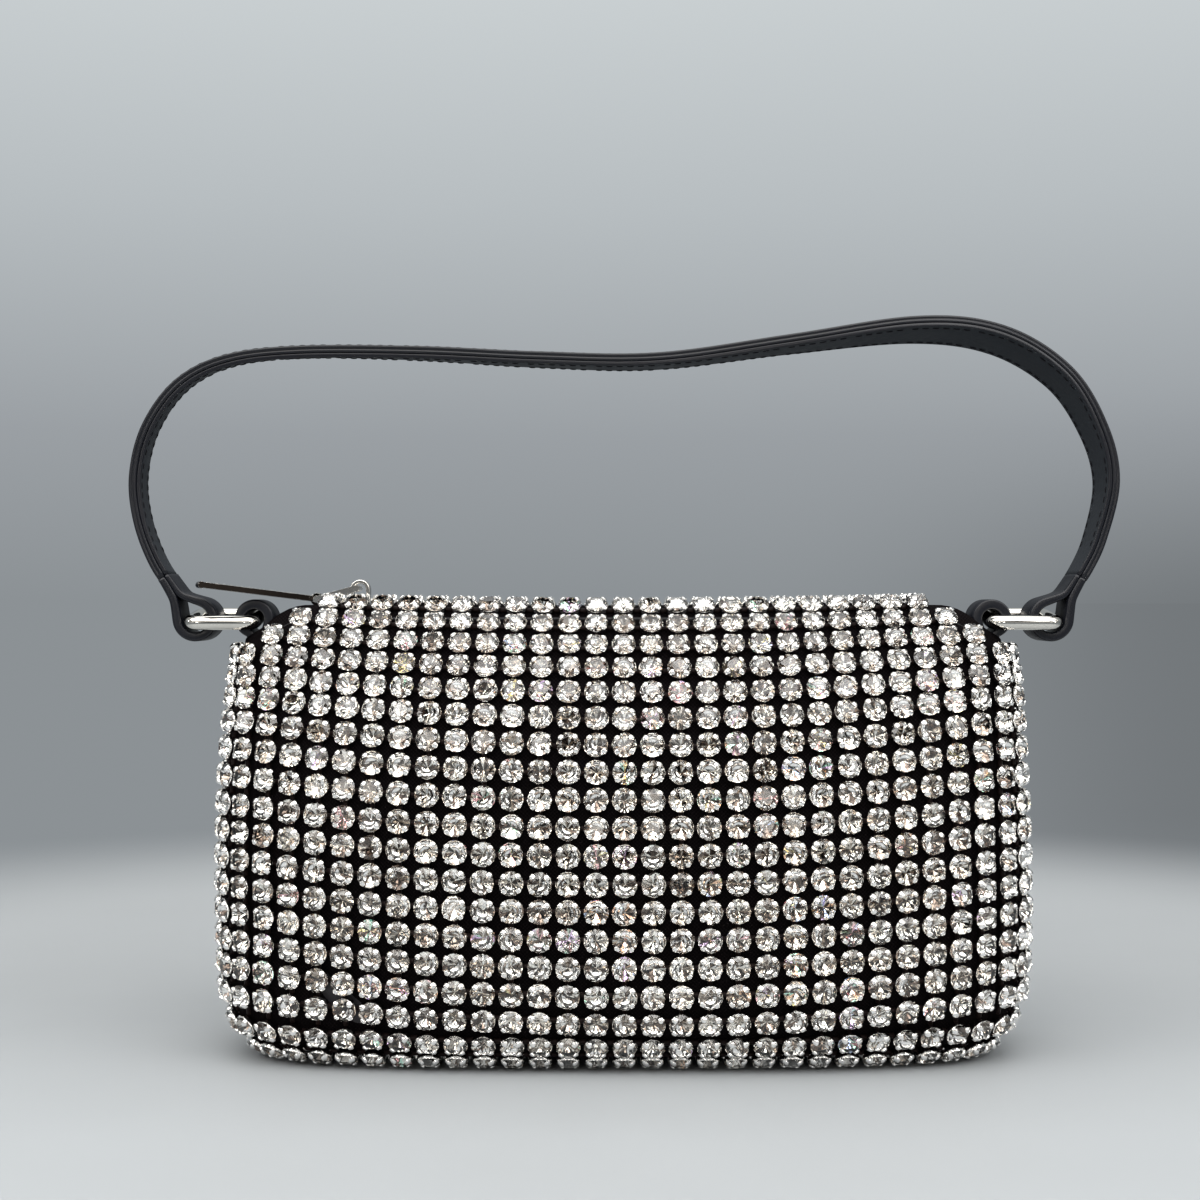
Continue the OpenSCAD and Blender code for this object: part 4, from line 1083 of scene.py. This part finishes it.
# Far off, the table darkens to the right of a line that runs away from where it is looked at.
reach = reckoned(tree, "ADD", (sides, "Y"), -EYE[1])
lean = reckoned(tree, "DIVIDE", (sides, "X"), (reach, 0))
floor_dusk = graded(tree, (lean, 0), DARK_FROM, DARK_TO, 1.0, DARKEST)
beyond = graded(tree, (sides, "Y"), -0.1, 0.5, 1.0)
tree.links.new(floor_dusk.outputs["Result"], beyond.inputs["To Max"])
glow = node(tree, "ShaderNodeEmission", [("Strength", beyond, "Result")], Color=FLOOR_FAR)
both = node(tree, "ShaderNodeMixShader", [(0, far_off, "Result"), (1, skin, "BSDF"), (2, glow, "Emission")])
surface = next(n for n in tree.nodes if n.bl_idname == "ShaderNodeOutputMaterial")
tree.links.new(both.outputs["Shader"], surface.inputs["Surface"])

FLOOR_SIDES = 72
FLOOR_RADII = (0.1, 0.2, 0.3, 0.4, 0.5, 0.8, 2.0, 8.0, 60.0)
floor_points, floor_faces = [[0, 0, 0]], []
for radius in FLOOR_RADII:
    floor_points += ring_of(FLOOR_SIDES, radius, 0).tolist()
for k in range(FLOOR_SIDES):
    m = (k + 1) % FLOOR_SIDES
    floor_faces.append([0, 1 + k, 1 + m])
    for level in range(len(FLOOR_RADII) - 1):
        a = 1 + FLOOR_SIDES * level
        floor_faces.append([a + k, a + FLOOR_SIDES + k, a + FLOOR_SIDES + m, a + m])
floor = mesh_object("floor", floor_points, floor_faces, [floor_finish])
floor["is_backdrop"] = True

sky = bpy.data.worlds.new("grey_room")
bpy.context.scene.world = sky
sky.use_nodes = True
tree = sky.node_tree
tree.nodes.clear()


def stepped(tree, fac, stops, kind="LINEAR"):
    """A run of colours over a node's output, from stops of (position, colour), the two ends first."""
    made = node(tree, "ShaderNodeValToRGB", [("Fac", *fac)])
    made.color_ramp.interpolation = kind
    steps = made.color_ramp.elements
    for step, (position, colour) in zip(steps, stops[:2]):
        step.position, step.color = position, (*colour, 1)
    for position, colour in stops[2:]:
        steps.new(position).color = (*colour, 1)
    return made


where = node(tree, "ShaderNodeTexCoord")
axes = node(tree, "ShaderNodeSeparateXYZ", [("Vector", where, "Generated")])
tones = stepped(tree, (axes, "Z"), ((0.0, (0.262, 0.284, 0.30)), (0.33, (0.60, 0.64, 0.655)),
                                    (0.09, (0.325, 0.348, 0.37)), (0.21, (0.475, 0.51, 0.53))))
aside = graded(tree, (axes, "X"), DARK_FROM, DARK_TO)
low_down = graded(tree, (axes, "Z"), 0.12, -0.02)
ahead = graded(tree, (axes, "Y"), 0.2, 0.8)
low_aside = reckoned(tree, "MULTIPLY", (aside, "Result"), (low_down, "Result"))
dusk = reckoned(tree, "MULTIPLY", (low_aside, 0), (ahead, "Result"))
wall_dusk = graded(tree, (dusk, 0), 0.0, 1.0, 1.0, DARKEST, "LINEAR")
seen = node(tree, "ShaderNodeBackground", [("Color", tones, "Color"), ("Strength", wall_dusk, "Result")])
# What the stones and the metal show: pale and dark panels, brightest overhead, and a plain wall
# behind the pouch.
panels = node(tree, "ShaderNodeTexVoronoi", [("Vector", where, "Generated")], Scale=13.0)
higher = graded(tree, (axes, "Z"), 0.3, 0.8, 0.0, 0.3, "LINEAR")
picked = reckoned(tree, "ADD", (panels, "Color"), (higher, "Result"))
lit = stepped(tree, (picked, 0), ((0.0, (0.02, 0.02, 0.02)), (0.42, (0.22, 0.21, 0.20)),
                                  (0.52, (0.5, 0.49, 0.475)), (0.62, (1.0, 0.98, 0.95))), "CONSTANT")
fronting = graded(tree, (axes, "Y"), -0.3, 0.1)
overhead = graded(tree, (axes, "Z"), 0.35, 0.95, 0.95, 4.2)
panelled = node(tree, "ShaderNodeBackground", [("Color", lit, "Color"), ("Strength", overhead, "Result")])
plain = node(tree, "ShaderNodeBackground", [("Color", tones, "Color")], Strength=0.6)
around_it = node(tree, "ShaderNodeMixShader",
                 [(0, fronting, "Result"), (1, panelled, "Background"), (2, plain, "Background")])
ray_kind = node(tree, "ShaderNodeLightPath")
shown = node(tree, "ShaderNodeMixShader",
             [(0, ray_kind, "Is Camera Ray"), (1, around_it, "Shader"), (2, seen, "Background")])
node(tree, "ShaderNodeOutputWorld", [("Surface", shown, "Shader")])

AIM_Z = 0.06
GLINTS, GLINTS_OFF, GLINT_HEIGHTS, GLINT_WATTS_PER_M2 = 18, 1.15, (14, 38, 24), 4.4 * math.pi


def lamp(name, place, wide, tall, watts, tone=(1.0, 1.0, 1.0)):
    """A soft lamp that faces the middle of the pouch."""
    light = bpy.data.lights.new(name, "AREA")
    light.shape = "RECTANGLE"
    light.size, light.size_y, light.energy, light.color = wide, tall, watts, tone
    made = bpy.data.objects.new(name, light)
    made.location = place
    made.rotation_euler = (Vector((0, 0, AIM_Z)) - Vector(place)).to_track_quat("-Z", "Y").to_euler()
    made.visible_camera = False
    bpy.context.scene.collection.objects.link(made)


lamp("soft_front", (0.0, -0.85, 1.15), 1.2, 0.55, 6.2)
lamp("soft_left", (-0.92, -0.74, 0.92), 0.6, 0.7, 3.6)
lamp("soft_right", (0.92, -0.74, 0.92), 0.6, 0.7, 3.6)
lamp("soft_top", (0.0, 0.3, 1.3), 1.4, 0.8, 7.5)
chance = random.Random(5)
for k in range(GLINTS):
    a = math.radians(-85 + 10 * k + chance.uniform(-4, 4))
    up = math.radians(GLINT_HEIGHTS[k % 3] + chance.uniform(-5, 5))
    level = GLINTS_OFF * math.cos(up)
    place = (level * math.sin(a), -level * math.cos(a), AIM_Z + GLINTS_OFF * math.sin(up))
    size = chance.uniform(0.07, 0.2)
    tone = chance.choice([(1.0, 0.95, 0.88), (0.92, 0.96, 1.0), (1.0, 0.99, 0.97)])
    lamp(f"glint_{k}", place, size, size, GLINT_WATTS_PER_M2 * size * size, tone)

low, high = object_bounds()
